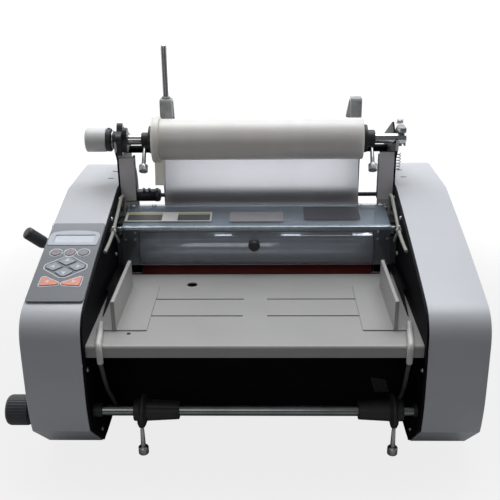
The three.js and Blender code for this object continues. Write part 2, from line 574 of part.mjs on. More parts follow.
// ---- Second film shaft in front ----
function addBottomShaft() {
  part("bottom_shaft", rodX([-307, PLATE_OUTER - 0.5], BOTTOM_Y, BOTTOM_Z, BOTTOM_R), CHROME);
  const bore = BOTTOM_R + GAP;
  const leftCone = [[-165.5, bore], [-165.5, 15], [-157.5, 15], [-156, 21], [-153, 23], [-150, 21],
    [-148, 15],
    [-103.5, 12.5], [-103.5, bore], [-165.5, bore]];
  const rightCone = [[141, bore], [141, 12.5], [183.5, 15], [185.5, 21], [188.5, 23], [191.5, 21],
    [193.5, 15],
    [202, 15], [202, bore], [141, bore]];
  const screwEnd = 11;
  part("left_cone_chuck", join(turnedX(leftCone, BOTTOM_Y, BOTTOM_Z),
    thumbScrew(-157, BOTTOM_Y, BOTTOM_Z - 10, screwEnd)), BLACK_PLASTIC);
  part("right_cone_chuck", join(turnedX(rightCone, BOTTOM_Y, BOTTOM_Z),
    thumbScrew(191.5, BOTTOM_Y, BOTTOM_Z - 10, screwEnd)), BLACK_PLASTIC);
  part("bottom_knob", turnedX([[-340.5, 0], [-340.5, 16.5], [-338.5, 19.5], [-334, 21], [-311, 21],
    [-309.5, 20],
    [-309.5, 14], [-307.3, 14], [-307.3, 0]], BOTTOM_Y, BOTTOM_Z), BLACK_PLASTIC);
}

// ---- Heater leads on the side plates and white sleeves at the table's front corners ----
function addCables() {
  for (const [name, side] of [["left", -1], ["right", 1]]) {
    const x = side * 215.6;
    const arch = tube([[x, 240.3, 266.2], [x, 243.5, 272.6], [x, 247, 283], [x, 243, 296], [x, 222, 299.5],
      [x, 190, 289], [x, 160, 279], [x, 142, 273], [x, 110, 268], [side * 218, 84, 262]], 2.6, 26, 6);
    part(`${name}_heater_lead`, arch, CABLE_GREY);
    const sleeve = tube([[side * 211, -8, 193.4], [side * 207, -36, 193.4], [side * 204, -62, 193.6],
      [side * 202.5, -70.4, 189.8], [side * 202, -71.4, 180], [side * 202, -70, 167], [side * 202.5, -60,
      149],
      [side * 204, -45, 125], [side * 206.5, -20, 94], [side * 210, 20, 54.5], [side * 214, 54.2, 19]],
      3.4, 28);
    part(`${name}_table_sleeve`, sleeve, SLEEVE_WHITE);
  }
}

addHousing(-1, "left_cover");
addHousing(1, "right_cover");
addSidePlate(-1, "left_side_plate");
addSidePlate(1, "right_side_plate");
addBase();
addFeet();
addControlPanel();
addTable();
addRollers();
addBearingBlocks();
addPressureLever();
addShield();
addSupply();
addLatch();
addFilm();
addPullArms();
addBlower();
addBottomShaft();
addCables();

// The knobs stand out on the left only, so the whole machine is moved to centre its own box.
const laminator = new THREE.Group();
laminator.add(machine);
const extent = new THREE.Box3().setFromObject(laminator);
machine.position.x = -(extent.min.x + extent.max.x) / 2;
machine.position.y = -(extent.min.y + extent.max.y) / 2;

export default laminator;
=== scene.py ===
import math

import bmesh
import bpy
from mathutils import Matrix, Vector


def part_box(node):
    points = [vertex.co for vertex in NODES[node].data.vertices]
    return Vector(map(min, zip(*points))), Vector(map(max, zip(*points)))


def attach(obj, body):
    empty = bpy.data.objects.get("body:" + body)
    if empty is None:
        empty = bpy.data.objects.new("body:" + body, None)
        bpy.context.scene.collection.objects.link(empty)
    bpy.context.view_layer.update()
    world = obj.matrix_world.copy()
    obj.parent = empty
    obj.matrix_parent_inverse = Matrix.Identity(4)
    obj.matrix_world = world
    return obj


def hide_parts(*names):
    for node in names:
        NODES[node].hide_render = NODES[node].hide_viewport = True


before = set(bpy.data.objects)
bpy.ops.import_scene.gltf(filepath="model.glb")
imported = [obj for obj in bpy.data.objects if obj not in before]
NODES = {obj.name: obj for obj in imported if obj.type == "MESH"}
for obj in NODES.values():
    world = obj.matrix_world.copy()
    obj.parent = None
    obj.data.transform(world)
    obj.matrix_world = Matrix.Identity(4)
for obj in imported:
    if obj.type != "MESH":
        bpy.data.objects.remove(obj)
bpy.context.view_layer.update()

# ---- Places: the machine's own millimetres, laid over the frame by its boxes ----
MM = 0.001
TABLE_FRONT = -65.0  # where the feed table's lip stands in the machine's millimetres
LEFT_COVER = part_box("left_cover")
RIGHT_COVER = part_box("right_cover")
ORIGIN = Vector((
    (LEFT_COVER[0].x + RIGHT_COVER[1].x) / 2,
    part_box("feed_table")[0].y - TABLE_FRONT * MM,
    LEFT_COVER[0].z,
))


def at(point):
    """A point of the machine, in metres.

    x is from the middle, y towards the back, and z above the side plates' feet.
    """
    return ORIGIN + Vector(point) * MM


HOUSING_HALF = 305.0
ROLLER_Y, UPPER_Z, LOWER_Z, ROLLER_R, ROLLER_HALF = 218.0, 219.6, 162.4, 28.0, 186.0
PULL_Y, PULL_UPPER_Z, PULL_LOWER_Z, PULL_R = 346.3, 209.6, 172.4, 18.0
SUPPLY_Y, SUPPLY_Z, SUPPLY_R = 262.0, 385.0, 8.0
BOTTOM_Y, BOTTOM_Z, BOTTOM_R = -50.0, 82.0, 7.4
PRESSURE_Y, PRESSURE_Z = 196.0, 256.0
BLOWER_Y, BLOWER_Z = 300.0, 280.0
ROD_Y, ROD_Z = 256.0, 270.2
LIFT_Z, CROSS_Z = 394.5, 348.0
TABLE_BACK = 174.0
FILM_THICK = 0.4
LEVER_X = -151.5
LEAD_X = 215.6
SIDES = {"left": -1, "right": 1}


# ---- Materials ----
def wire(tree, kind, inputs, **settings):
    """Adds a shader node. An input's value is either a number or colour, or the socket that feeds it."""
    node = tree.nodes.new("ShaderNode" + kind)
    for key, value in settings.items():
        setattr(node, key, value)
    for key, value in inputs.items():
        if isinstance(value, bpy.types.NodeSocket):
            tree.links.new(value, node.inputs[key])
        else:
            node.inputs[key].default_value = value
    return node


def ramp(tree, factor, stops):
    """A colour ramp over the factor, with stops of (position, colour)."""
    node = wire(tree, "ValToRGB", {"Fac": factor})
    elements = node.color_ramp.elements
    while len(elements) < len(stops):
        elements.new(0.5)
    for element, (position, colour) in zip(elements, stops):
        element.position = position
        element.color = (*colour, 1)
    return node.outputs["Color"]


def shade(colour, factor):
    return tuple(min(1.0, channel * factor) for channel in colour)


def surface(name, colour, roughness, metallic=0.0, coat=0.0, mottle=0.06, patch=40.0, grain=0.9,
            depth=0.012,
            stretch=(1, 1, 1), wear=0.0, worn=(0.45, 0.45, 0.46), colours=None, spread=0.07, specular=0.5):
    """A finish with patches of colour, a fine grain in its gloss and relief, and worn edges.

    Sizes are in millimetres.
    """
    material = bpy.data.materials.new(name)
    material.use_nodes = True
    tree = material.node_tree
    shader = tree.nodes["Principled BSDF"]
    where = wire(tree, "TexCoord", {}).outputs["Object"]
    spot = wire(tree, "Mapping", {"Vector": where, "Scale": stretch}).outputs["Vector"]
    blotch = wire(tree, "TexNoise", {"Vector": spot, "Scale": 1000 / patch, "Detail": 4.0}).outputs["Fac"]
    fine = wire(tree, "TexNoise", {"Vector": spot, "Scale": 1000 / grain, "Detail": 3.0}).outputs["Fac"]
    if colours:
        paint = colours(tree, where)
        tint = ramp(tree, blotch, [(0.3, (1 - mottle,) * 3), (0.7, (1.0,) * 3)])
        paint = wire(tree, "Mix", {"Factor": 1.0, "A": paint, "B": tint}, data_type="RGBA",
                     blend_type="MULTIPLY").outputs["Result"]
    else:
        paint = ramp(tree, blotch, [(0.3, shade(colour, 1 - mottle)), (0.7, shade(colour, 1 + mottle))])
    if wear:
        round_normal = wire(tree, "Bevel", {"Radius": 0.5 * MM}, samples=4).outputs["Normal"]
        flat_normal = wire(tree, "NewGeometry", {}).outputs["Normal"]
        match = wire(tree, "VectorMath", {0: round_normal, 1: flat_normal},
                     operation="DOT_PRODUCT").outputs["Value"]
        edge = wire(tree, "MapRange", {"Value": match, "From Min": 0.99, "From Max": 0.75, "To Max": wear})
        broken = wire(tree, "Math", {0: edge.outputs["Result"], 1: fine},
                      operation="MULTIPLY").outputs["Value"]
        paint = wire(tree, "Mix", {"Factor": broken, "A": paint, "B": (*worn, 1)},
                     data_type="RGBA").outputs["Result"]
    tree.links.new(paint, shader.inputs["Base Color"])
    gloss = wire(tree, "MapRange", {"Value": fine, "From Min": 0.3, "From Max": 0.7,
                                    "To Min": max(0.02, roughness - spread), "To Max": roughness + spread})
    tree.links.new(gloss.outputs["Result"], shader.inputs["Roughness"])
    relief = wire(tree, "Bump", {"Height": fine, "Distance": depth * MM, "Strength": 0.5})
    tree.links.new(relief.outputs["Normal"], shader.inputs["Normal"])
    shader.inputs["Metallic"].default_value = metallic
    shader.inputs["Specular IOR Level"].default_value = specular
    shader.inputs["Coat Weight"].default_value = coat
    shader.inputs["Coat Roughness"].default_value = 0.15
    return material


def along(axis, start, end, stops):
    """Colours that change along an axis of the machine, from start to end millimetres."""
    def colours(tree, where):
        lowest, highest = at((start,) * 3)[axis], at((end,) * 3)[axis]
        value = wire(tree, "SeparateXYZ", {"Vector": where}).outputs[axis]
        share = wire(tree, "MapRange", {"Value": value, "From Min": lowest, "From Max": highest})
        return ramp(tree, share.outputs["Result"], stops)
    return colours


def rings(y, z, pitch, light, dark):
    """Fine rings about a line along X, as on the end of a wound roll."""
    def colours(tree, where):
        centre = at((0, y, z))
        moved = wire(tree, "VectorMath", {0: where, 1: (0, -centre.y, -centre.z)},
                     operation="ADD").outputs["Vector"]
        flat = wire(tree, "VectorMath", {0: moved, 1: (0, 1, 1)}, operation="MULTIPLY").outputs["Vector"]
        radius = wire(tree, "VectorMath", {0: flat}, operation="LENGTH").outputs["Value"]
        turns = wire(tree, "Math", {0: radius, 1: 1 / (pitch * MM)}, operation="MULTIPLY").outputs["Value"]
        streak = wire(tree, "TexNoise", {"W": turns, "Scale": 1.0, "Detail": 3.0}, noise_dimensions="1D")
        return ramp(tree, streak.outputs["Fac"], [(0.35, dark), (0.65, light)])
    return colours


def clear_plastic(name, tint, passed):
    """Clear sheet: it mirrors more at a glance than head on, and lets the lamps through."""
    material = bpy.data.materials.new(name)
    material.use_nodes = True
    tree = material.node_tree
    shader = tree.nodes["Principled BSDF"]
    where = wire(tree, "TexCoord", {}).outputs["Object"]
    smudge = wire(tree, "TexNoise", {"Vector": where, "Scale": 14.0, "Detail": 4.0}).outputs["Fac"]
    shader.inputs["Base Color"].default_value = (*tint, 1)
    shader.inputs["Metallic"].default_value = 0.5
    gloss = wire(tree, "MapRange", {"Value": smudge, "From Min": 0.35, "From Max": 0.75, "To Min": 0.03,
                                    "To Max": 0.16})
    tree.links.new(gloss.outputs["Result"], shader.inputs["Roughness"])
    open_part = wire(tree, "BsdfTransparent", {"Color": (*passed, 1)})
    fresnel = wire(tree, "Fresnel", {"IOR": 1.49}).outputs["Fac"]
    haze = wire(tree, "MapRange", {"Value": smudge, "To Min": 0.03, "To Max": 0.08}).outputs["Result"]
    share = wire(tree, "Math", {0: fresnel, 1: haze}, operation="ADD", use_clamp=True).outputs["Value"]
    mixed = wire(tree, "MixShader", {"Fac": share, 1: open_part.outputs["BSDF"], 2: shader.outputs["BSDF"]})
    tree.links.new(mixed.outputs["Shader"], tree.nodes["Material Output"].inputs["Surface"])
    return material


def film_sheet(name, colours, passing, clear_z, milky_z):
    """Milky film that passes the light behind it, and turns clear where it is tight on the roller."""
    material = surface(name, None, 0.3, coat=0.2, mottle=0.04, patch=60.0, grain=3.0, depth=0.02,
                       stretch=(1, 0.15, 0.15), colours=colours)
    tree = material.node_tree
    shader = tree.nodes["Principled BSDF"]
    through = wire(tree, "BsdfTranslucent", {"Color": shader.inputs["Base Color"].links[0].from_socket})
    milky = wire(tree, "MixShader", {"Fac": passing, 1: shader.outputs["BSDF"], 2: through.outputs["BSDF"]})
    height = wire(tree, "SeparateXYZ",
                  {"Vector": wire(tree, "TexCoord", {}).outputs["Object"]}).outputs["Z"]
    clear = wire(tree, "MapRange", {"Value": height, "From Min": at((0, 0, clear_z)).z,
                                    "From Max": at((0, 0, milky_z)).z,
                                    "To Min": 0.88, "To Max": 0.16})
    open_part = wire(tree, "BsdfTransparent", {})
    mixed = wire(tree, "MixShader", {"Fac": clear.outputs["Result"], 1: milky.outputs["Shader"],
                                     2: open_part.outputs["BSDF"]})
    tree.links.new(mixed.outputs["Shader"], tree.nodes["Material Output"].inputs["Surface"])
    return material


ROUND_X = (1, 0.04, 0.04)  # streaks that run round a piece turned about X

HOUSING = surface("housing_paint", (0.49, 0.502, 0.53), 0.42, coat=0.08, mottle=0.03, patch=90, grain=0.8,
                  depth=0.02,
                  wear=0.25, worn=(0.5, 0.5, 0.52))
TABLE = surface("table_paint", (0.34, 0.334, 0.325), 0.42, coat=0.08, mottle=0.03, patch=70, grain=0.8,
                depth=0.015,
                wear=0.3, worn=(0.45, 0.44, 0.42))
POST_PAINT = surface("post_paint", (0.68, 0.66, 0.68), 0.5, mottle=0.04, patch=50, grain=0.8, depth=0.015,
                     wear=0.3)
BLACK_STEEL = surface("black_steel", (0.005, 0.005, 0.007), 0.6, mottle=0.2, patch=30, grain=0.7,
                      depth=0.02,
                      wear=0.3, worn=(0.07, 0.07, 0.08), specular=0.08)
BLACK_BLOCK = surface("black_block", (0.075, 0.076, 0.082), 0.45, mottle=0.15, patch=12, grain=0.5,
                      depth=0.01,
                      wear=0.5, worn=(0.16, 0.16, 0.17))
BLACK_HUB = surface("black_hub", (0.022, 0.022, 0.024), 0.5, mottle=0.2, patch=10, grain=0.5, depth=0.015,
                    wear=0.4,
                    worn=(0.10, 0.10, 0.10))
BLACK_GRIP = surface("grip_plastic", (0.03, 0.033, 0.038), 0.42, mottle=0.15, patch=15, grain=0.6,
                     depth=0.02)
KNOB_DARK = surface("knob_dark", (0.045, 0.047, 0.052), 0.5, mottle=0.12, patch=12, grain=0.5,
                    depth=0.015, wear=0.5,
                    worn=(0.12, 0.12, 0.13))
BLACK_BAR = surface("black_bar", (0.015, 0.016, 0.024), 0.35, mottle=0.2, patch=20, stretch=ROUND_X)
CASTING = surface("grey_casting", (0.34, 0.345, 0.35), 0.5, metallic=0.4, mottle=0.15, patch=9, grain=1.1,
                  depth=0.08,
                  wear=0.6, worn=(0.5, 0.5, 0.5))
CHROME = surface("bar_chrome", (0.62, 0.63, 0.64), 0.16, metallic=1, mottle=0.08, patch=25, grain=0.35,
                 depth=0.004,
                 stretch=ROUND_X, spread=0.05)
DARK_CHROME = surface("shaft_chrome", (0.30, 0.315, 0.315), 0.22, metallic=1, mottle=0.1, patch=25,
                      grain=0.35, depth=0.004,
                      stretch=ROUND_X, spread=0.05)
ROLLER = surface("roller_chrome", (0.80, 0.80, 0.82), 0.11, metallic=0.6, mottle=0.07, patch=30, grain=0.5,
                 depth=0.004, stretch=ROUND_X, spread=0.05)
SCREW = surface("screw_zinc", (0.58, 0.59, 0.6), 0.28, metallic=1, mottle=0.12, patch=3, grain=0.4,
                depth=0.01)
SILICONE = surface("red_silicone", (0.17, 0.018, 0.016), 0.55, mottle=0.12, patch=25, grain=0.8, depth=0.02)
PULL_RUBBER = surface("pull_rubber", (0.03, 0.03, 0.032), 0.7, mottle=0.15, patch=25, grain=0.8, depth=0.03)
GEAR = surface("gear_nylon", (0.05, 0.05, 0.055), 0.5, mottle=0.15, patch=8, grain=0.5, depth=0.02)
MOTOR = surface("motor_casing", (0.25, 0.25, 0.26), 0.4, metallic=0.7, mottle=0.1, patch=15, grain=0.6,
                depth=0.02)
RUBBER = surface("foot_rubber", (0.015, 0.015, 0.015), 0.8, mottle=0.2, patch=8, grain=0.7, depth=0.05)
GREY_KNOB = surface("knob_grey", (0.66, 0.66, 0.65), 0.5, mottle=0.04, patch=14, grain=0.6, depth=0.02,
                    wear=0.3,
                    worn=(0.45, 0.45, 0.44))
LEAD = surface("lead_sheath", (0.085, 0.085, 0.095), 0.6, mottle=0.15, patch=10, grain=0.8, depth=0.03)
CABLE = surface("cable_sheath", (0.30, 0.30, 0.27), 0.5, mottle=0.1, patch=14, grain=0.8, depth=0.03)
SLEEVE = surface("white_sleeve", (0.56, 0.555, 0.53), 0.35, coat=0.15, mottle=0.07, patch=16, grain=1.5,
                 depth=0.03)
TIE = surface("cable_tie", (0.52, 0.53, 0.5), 0.45, mottle=0.06, patch=5)
INLET = surface("inlet_plastic", (0.02, 0.02, 0.02), 0.5, mottle=0.15, patch=8, grain=0.5, depth=0.02)
ROCKER = surface("switch_rocker", (0.03, 0.03, 0.03), 0.3, mottle=0.1, patch=8)
OVERLAY = surface("panel_overlay", None, 0.42, mottle=0.05, patch=25, grain=0.5, depth=0.01,
                  colours=along(1, -37, 138, [(0.0, (0.085, 0.095, 0.105)), (0.55, (0.10, 0.11, 0.125)),
                                              (1.0, (0.21, 0.225, 0.25))]))
KEY_GREY = surface("key_grey", (0.15, 0.175, 0.20), 0.35, coat=0.2, mottle=0.08, patch=10, grain=0.5,
                   depth=0.01)
KEY_DARK = surface("key_dark", (0.10, 0.11, 0.125), 0.35, coat=0.2, mottle=0.08, patch=10, grain=0.5,
                   depth=0.01)
KEY_ORANGE = surface("key_orange", (0.56, 0.13, 0.055), 0.35, coat=0.2, mottle=0.08, patch=9, grain=0.5,
                     depth=0.01)
INK_WHITE = surface("ink_white", (0.56, 0.59, 0.62), 0.4, mottle=0.03, patch=8)
BEZEL = surface("bezel_white", (0.41, 0.44, 0.48), 0.45, mottle=0.04, patch=14)
INK_PALE = surface("ink_pale", (0.42, 0.47, 0.5), 0.4, mottle=0.05, patch=5)
INK_RED = surface("ink_red", (0.42, 0.03, 0.03), 0.4, mottle=0.08, patch=3)
LCD = surface("display_glass", (0.29, 0.32, 0.385), 0.14, coat=0.5, mottle=0.05, patch=14, depth=0.0)
FILM_ROLL = surface("film_roll", None, 0.38, coat=0.25, mottle=0.05, patch=26, grain=2.2, depth=0.03,
                    stretch=ROUND_X,
                    colours=along(0, -167, 176, [(0.0, (0.74, 0.71, 0.65)), (0.05, (0.72, 0.69, 0.64)),
                                                 (0.12, (0.76, 0.73, 0.695)), (1.0, (0.77, 0.74, 0.715))]))
ROLL_SHADER = FILM_ROLL.node_tree.nodes["Principled BSDF"]
ROLL_SHADER.inputs["Subsurface Weight"].default_value = 0.85
ROLL_SHADER.inputs["Subsurface Scale"].default_value = 0.03
ROLL_SHADER.inputs["Subsurface Radius"].default_value = (1.0, 0.95, 0.9)
FILM_END = surface("film_end", None, 0.5, mottle=0.05, patch=12, grain=0.6, depth=0.03,
                   colours=rings(SUPPLY_Y, SUPPLY_Z, 0.35, (0.68, 0.66, 0.6), (0.45, 0.43, 0.39)))
CORE = surface("card_core", (0.36, 0.27, 0.17), 0.8, mottle=0.12, patch=6, grain=0.5, depth=0.04)
WEB = film_sheet("film_web", along(0, -153, 169, [(0.0, (0.82, 0.83, 0.86)), (1.0, (0.86, 0.87, 0.90))]),
                 0.85,
                 252, 262)
WEB_EDGE = film_sheet("film_edge", along(0, -170, -153,
                                         [(0.0, (0.72, 0.695, 0.65)), (1.0, (0.76, 0.735, 0.69))]), 0.6,
                      252, 262)
CLEAR = clear_plastic("clear_acrylic", (0.60, 0.65, 0.70), (0.93, 0.95, 0.97))
LABEL_LIGHT = surface("label_light", (0.30, 0.29, 0.30), 0.4, mottle=0.04, patch=14)
LABEL_WHITE = surface("label_white", (0.66, 0.66, 0.64), 0.4, mottle=0.04, patch=12)
LABEL_DARK = surface("label_dark", (0.06, 0.066, 0.068), 0.4, mottle=0.1, patch=12)
LABEL_BLUE = surface("label_blue", (0.045, 0.047, 0.06), 0.4, mottle=0.06, patch=16)
LABEL_YELLOW = surface("label_yellow", (0.55, 0.42, 0.10), 0.4, mottle=0.06, patch=10)
DARK_WALL_PATCH = surface("dark_wall_patch", (0.022, 0.022, 0.024), 0.6, mottle=0.3, patch=6)


# ---- Shapes: lists of points in the machine's millimetres with the faces between them ----
def joined(*shapes):
    points, faces = [], []
    for more_points, more_faces in shapes:
        start = len(points)
        points.extend(more_points)
        faces.extend(tuple(start + corner for corner in face) for face in more_faces)
    return points, faces


def tilted(shape, degrees, y, z):
    """Turns a shape about a line along X through y, z."""
    turn = Matrix.Rotation(math.radians(degrees), 3, "X")
    centre = Vector((0, y, z))
    return [tuple(turn @ (Vector(point) - centre) + centre) for point in shape[0]], shape[1]


def turned(profile, centre, axis=(1, 0, 0), sides=48, wave=None):
    """A body of revolution. The profile's points are (distance along the axis from the centre, radius).
    It closes on the axis where its ends have no radius, and on itself where they have one."""
    along_axis = Vector(axis).normalized()
    across = along_axis.orthogonal().normalized()
    third = along_axis.cross(across)
    centre = Vector(centre)
    points, rows = [], []
    for height, radius in profile:
        count = sides if radius > 1e-6 else 1
        row = []
        for i in range(count):
            angle = 2 * math.pi * i / sides
            reach = radius * (wave(angle, height) if wave and count > 1 else 1)
            offset = (across * math.cos(angle) + third * math.sin(angle)) * reach if count > 1 else Vector()
            row.append(len(points))
            points.append(centre + along_axis * height + offset)
        rows.append(row)
    open_ends = profile[0][1] > 1e-6
    pairs = list(zip(rows, rows[1:])) + ([(rows[-1], rows[0])] if open_ends else [])
    faces = []
    for low, high in pairs:
        for i in range(sides):
            j = (i + 1) % sides
            if len(low) == 1 and len(high) == 1:
                break
            if len(low) == 1:
                faces.append((low[0], high[j], high[i]))
            elif len(high) == 1:
                faces.append((low[i], low[j], high[0]))
            else:
                faces.append((low[i], low[j], high[j], high[i]))
    return points, faces


def bar(span, y, z, radius, edge=0.6, sides=48):
    """A round bar along X with broken edges."""
    low, high = span
    profile = [(low, 0), (low, radius - edge), (low + edge, radius), (high - edge, radius),
               (high, radius - edge), (high, 0)]
    return turned(profile, (0, y, z), sides=sides)


def prism(outline, low, high, place):
    """An outline of (a, b) points between two heights. place(a, b, height) gives a point of the machine."""
    count = len(outline)
    points = [place(a, b, height) for height in (low, high) for a, b in outline]
    faces = [tuple(range(count)), tuple(range(count, 2 * count))]
    for i in range(count):
        j = (i + 1) % count
        faces.append((i, j, count + j, count + i))
    return points, faces


def side_on(a, b, height):
    return (height, a, b)


def flat(a, b, height):
    return (a, b, height)


def block(x, y, z):
    outline = [(x[0], y[0]), (x[1], y[0]), (x[1], y[1]), (x[0], y[1])]
    return prism(outline, z[0], z[1], flat)


def both(span, side):
    """A span of x on the right-hand side, or the same on the left."""
    return span if side > 0 else (-span[1], -span[0])


def curve_points(route, steps):
    """Points evenly spread along a smooth curve through the route."""
    knots = [Vector(point) for point in route]
    knots = [2 * knots[0] - knots[1], *knots, 2 * knots[-1] - knots[-2]]
    fine = []
    for a, b, c, d in zip(knots, knots[1:], knots[2:], knots[3:]):
        for i in range(24):
            t = i / 24
            fine.append(0.5 * (2 * b + (c - a) * t + (2 * a - 5 * b + 4 * c - d) * t * t
                               + (3 * b - a - 3 * c + d) * t ** 3))
    fine.append(knots[-2])
    reach = [0.0]
    for a, b in zip(fine, fine[1:]):
        reach.append(reach[-1] + (b - a).length)
    points, k = [], 0
    for i in range(steps + 1):
        goal = reach[-1] * i / steps
        while k < len(fine) - 2 and reach[k + 1] < goal:
            k += 1
        share = (goal - reach[k]) / max(reach[k + 1] - reach[k], 1e-9)
        points.append(fine[k].lerp(fine[k + 1], share))
    return points


def tube(line, radius, sides=20, wave=None, rounded=0.0):
    """A round tube along a line of points, with closed ends."""
    line = [Vector(point) for point in line]
    tangents = [(line[min(i + 1, len(line) - 1)] - line[max(i - 1,
                                                            0)]).normalized() for i in range(len(line))]
    across = tangents[0].orthogonal().normalized()
    rows = []
    for i, (point, tangent) in enumerate(zip(line, tangents)):
        across = (across - tangent * across.dot(tangent)).normalized()
        reach = radius * (wave(i) if wave else 1)
        rows.append((point, across.copy(), tangent.cross(across), reach))
    if rounded:
        ends = []
        for step in (1, 2, 3):
            turn = math.pi / 2 * step / 3
            point, first, second, reach = rows[-1]
            ends.append((point + tangents[-1] * rounded * math.sin(turn), first, second,
                         reach - rounded * (1 - math.cos(turn))))
        rows.extend(ends)
    points, faces = [], []
    for point, first, second, reach in rows:
        for k in range(sides):
            angle = 2 * math.pi * k / sides
            points.append(point + (first * math.cos(angle) + second * math.sin(angle)) * reach)
    for i in range(len(rows) - 1):
        for k in range(sides):
            m = (k + 1) % sides
            faces.append((i * sides + k, i * sides + m, (i + 1) * sides + m, (i + 1) * sides + k))
    faces.append(tuple(range(sides)))
    faces.append(tuple(range((len(rows) - 1) * sides, len(rows) * sides)))
    return points, faces


def rounded_outline(corners, radius, steps=5):
    """The same polygon with its corners rounded. radius may be one number or one for each corner."""
    radii = radius if hasattr(radius, "__len__") else [radius] * len(corners)
    points = []
    count = len(corners)
    for i, corner in enumerate(corners):
        here, before, after = Vector(corner), Vector(corners[i - 1]), Vector(corners[(i + 1) % count])
        back, on = (before - here), (after - here)
        angle = back.angle(on)
        cut = min(radii[i] / math.tan(angle / 2), back.length * 0.49, on.length * 0.49)
        start, end = here + back.normalized() * cut, here + on.normalized() * cut
        for k in range(steps + 1):
            t = k / steps
            points.append(tuple((1 - t) ** 2 * start + 2 * t * (1 - t) * here + t * t * end))
    return points


def grown(outline, extra):
    """The same closed outline with its edges moved outwards."""
    count = len(outline)
    area = sum(outline[i - 1][0] * outline[i][1] - outline[i][0] * outline[i - 1][1] for i in range(count))
    turn = 1 if area > 0 else -1
    points = []
    for i in range(count):
        here, before, after = Vector(outline[i]), Vector(outline[i - 1]), Vector(outline[(i + 1) % count])
        first, second = (here - before), (after - here)
        if first.length < 1e-6 or second.length < 1e-6:
            continue
        first, second = first.normalized(), second.normalized()
        one, two = Vector((first.y, -first.x)), Vector((second.y, -second.x))
        middle = one + two
        middle *= 2 * extra * turn / max(middle.length_squared, 0.5)
        points.append(tuple(here + middle))
    return points


def folded(line, thickness, span):
    """A sheet of even thickness that follows a line of (y, z) points, extruded along X."""
    upper, lower = [], []
    for i, point in enumerate(line):
        ay, az = line[max(i - 1, 0)]
        by, bz = line[min(i + 1, len(line) - 1)]
        normal = Vector((az - bz, by - ay)).normalized() * thickness / 2
        upper.append((point[0] + normal.x, point[1] + normal.y))
        lower.append((point[0] - normal.x, point[1] - normal.y))
    return prism(upper + lower[::-1], span[0], span[1], side_on)


def arc(cy, cz, radius, start, end, steps=8):
    """Points round a centre, between two angles in degrees."""
    turns = [math.radians(start + (end - start) * i / steps) for i in range(steps + 1)]
    return [(cy + radius * math.cos(turn), cz + radius * math.sin(turn)) for turn in turns]


def screw_head(place, axis, radius):
    """A domed screw head with a cross recess, standing on the place given."""
    def recess(angle, height):
        return 1 + 0.75 * max(0.0, math.cos(4 * angle)) ** 2 if height > radius * 0.2 else 1
    profile = [(0, 0), (0, radius), (radius * 0.18, radius), (radius * 0.42, radius * 0.86),
               (radius * 0.55, radius * 0.6)]
    dome = turned(profile + [(radius * 0.58, radius * 0.5), (radius * 0.58, 0)], place, axis, 24)
    cross = turned([(radius * 0.3, 0), (radius * 0.3, radius * 0.27), (radius * 0.62, radius * 0.27),
                    (radius * 0.62, 0)], place, axis, 24, wave=recess)
    return dome, cross


# ---- Pieces: meshes that ride on the frame's bodies ----
def new_mesh(name, shape):
    mesh = bpy.data.meshes.new(name)
    mesh.from_pydata([at(point) for point in shape[0]], [], shape[1])
    edit = bmesh.new()
    edit.from_mesh(mesh)
    bmesh.ops.remove_doubles(edit, verts=edit.verts, dist=1e-7)
    bmesh.ops.recalc_face_normals(edit, faces=edit.faces)
    edit.to_mesh(mesh)
    edit.free()
    return mesh


def new_object(name, mesh):
    thing = bpy.data.objects.new(name, mesh)
    bpy.context.scene.collection.objects.link(thing)
    return thing


def carved(mesh, cutters):
    """The mesh with every cutter's shape taken away."""
    base = new_object("carving_base", mesh)
    tools = []
    for shape in cutters:
        tool = new_object("carving_tool", new_mesh("carving_tool", shape))
        tools.append(tool)
        modifier = base.modifiers.new("carve", "BOOLEAN")
        modifier.operation = "DIFFERENCE"
        modifier.object = tool
    bpy.context.view_layer.update()
    result = bpy.data.meshes.new_from_object(base.evaluated_get(bpy.context.evaluated_depsgraph_get()))
    for thing in [base, *tools]:
        bpy.data.objects.remove(thing)
    return result


def round_edges(thing, width, angle=40.0, segments=3):
    bevel = thing.modifiers.new("edges", "BEVEL")
    bevel.width = width * MM
    bevel.segments = segments
    bevel.limit_method = "ANGLE"
    bevel.angle_limit = math.radians(angle)
    bevel.use_clamp_overlap = True
    even = thing.modifiers.new("shading", "WEIGHTED_NORMAL")
    even.keep_sharp = False


def piece(name, shape, material, body, stands_for=(), bevel=0.0, smooth=35.0, cutters=(),
          angle=40.0):
    """Builds one piece of the object and fixes it to its body."""
    mesh = new_mesh(name, shape)
    if cutters:
        mesh = carved(mesh, cutters)
        mesh.name = name
    for polygon in mesh.polygons:
        polygon.use_smooth = True
    mesh.materials.clear()
    mesh.materials.append(material)
    thing = new_object(name, mesh)
    if bevel:
        round_edges(thing, bevel, angle)
    else:
        mesh.set_sharp_from_angle(angle=math.radians(smooth))
    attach(thing, body)
    if stands_for:
        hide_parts(*stands_for)
    return thing


def dress(node_name, material, bevel=0.4):
    """Keeps a CAD node's own shape, with broken edges and a finish."""
    node = NODES[node_name]
    node.data.materials.clear()
    node.data.materials.append(material)
    for polygon in node.data.polygons:
        polygon.use_smooth = True
    weld = node.modifiers.new("weld", "WELD")
    weld.merge_threshold = 0.01 * MM
    round_edges(node, bevel)


def screws(name, places, axis, radius, body, material=None):
    """Screw heads of one size, made as one piece."""
    heads = []
    for place in places:
        heads.extend(screw_head(place, axis, radius))
    return piece(name, joined(*heads), material or SCREW, body)


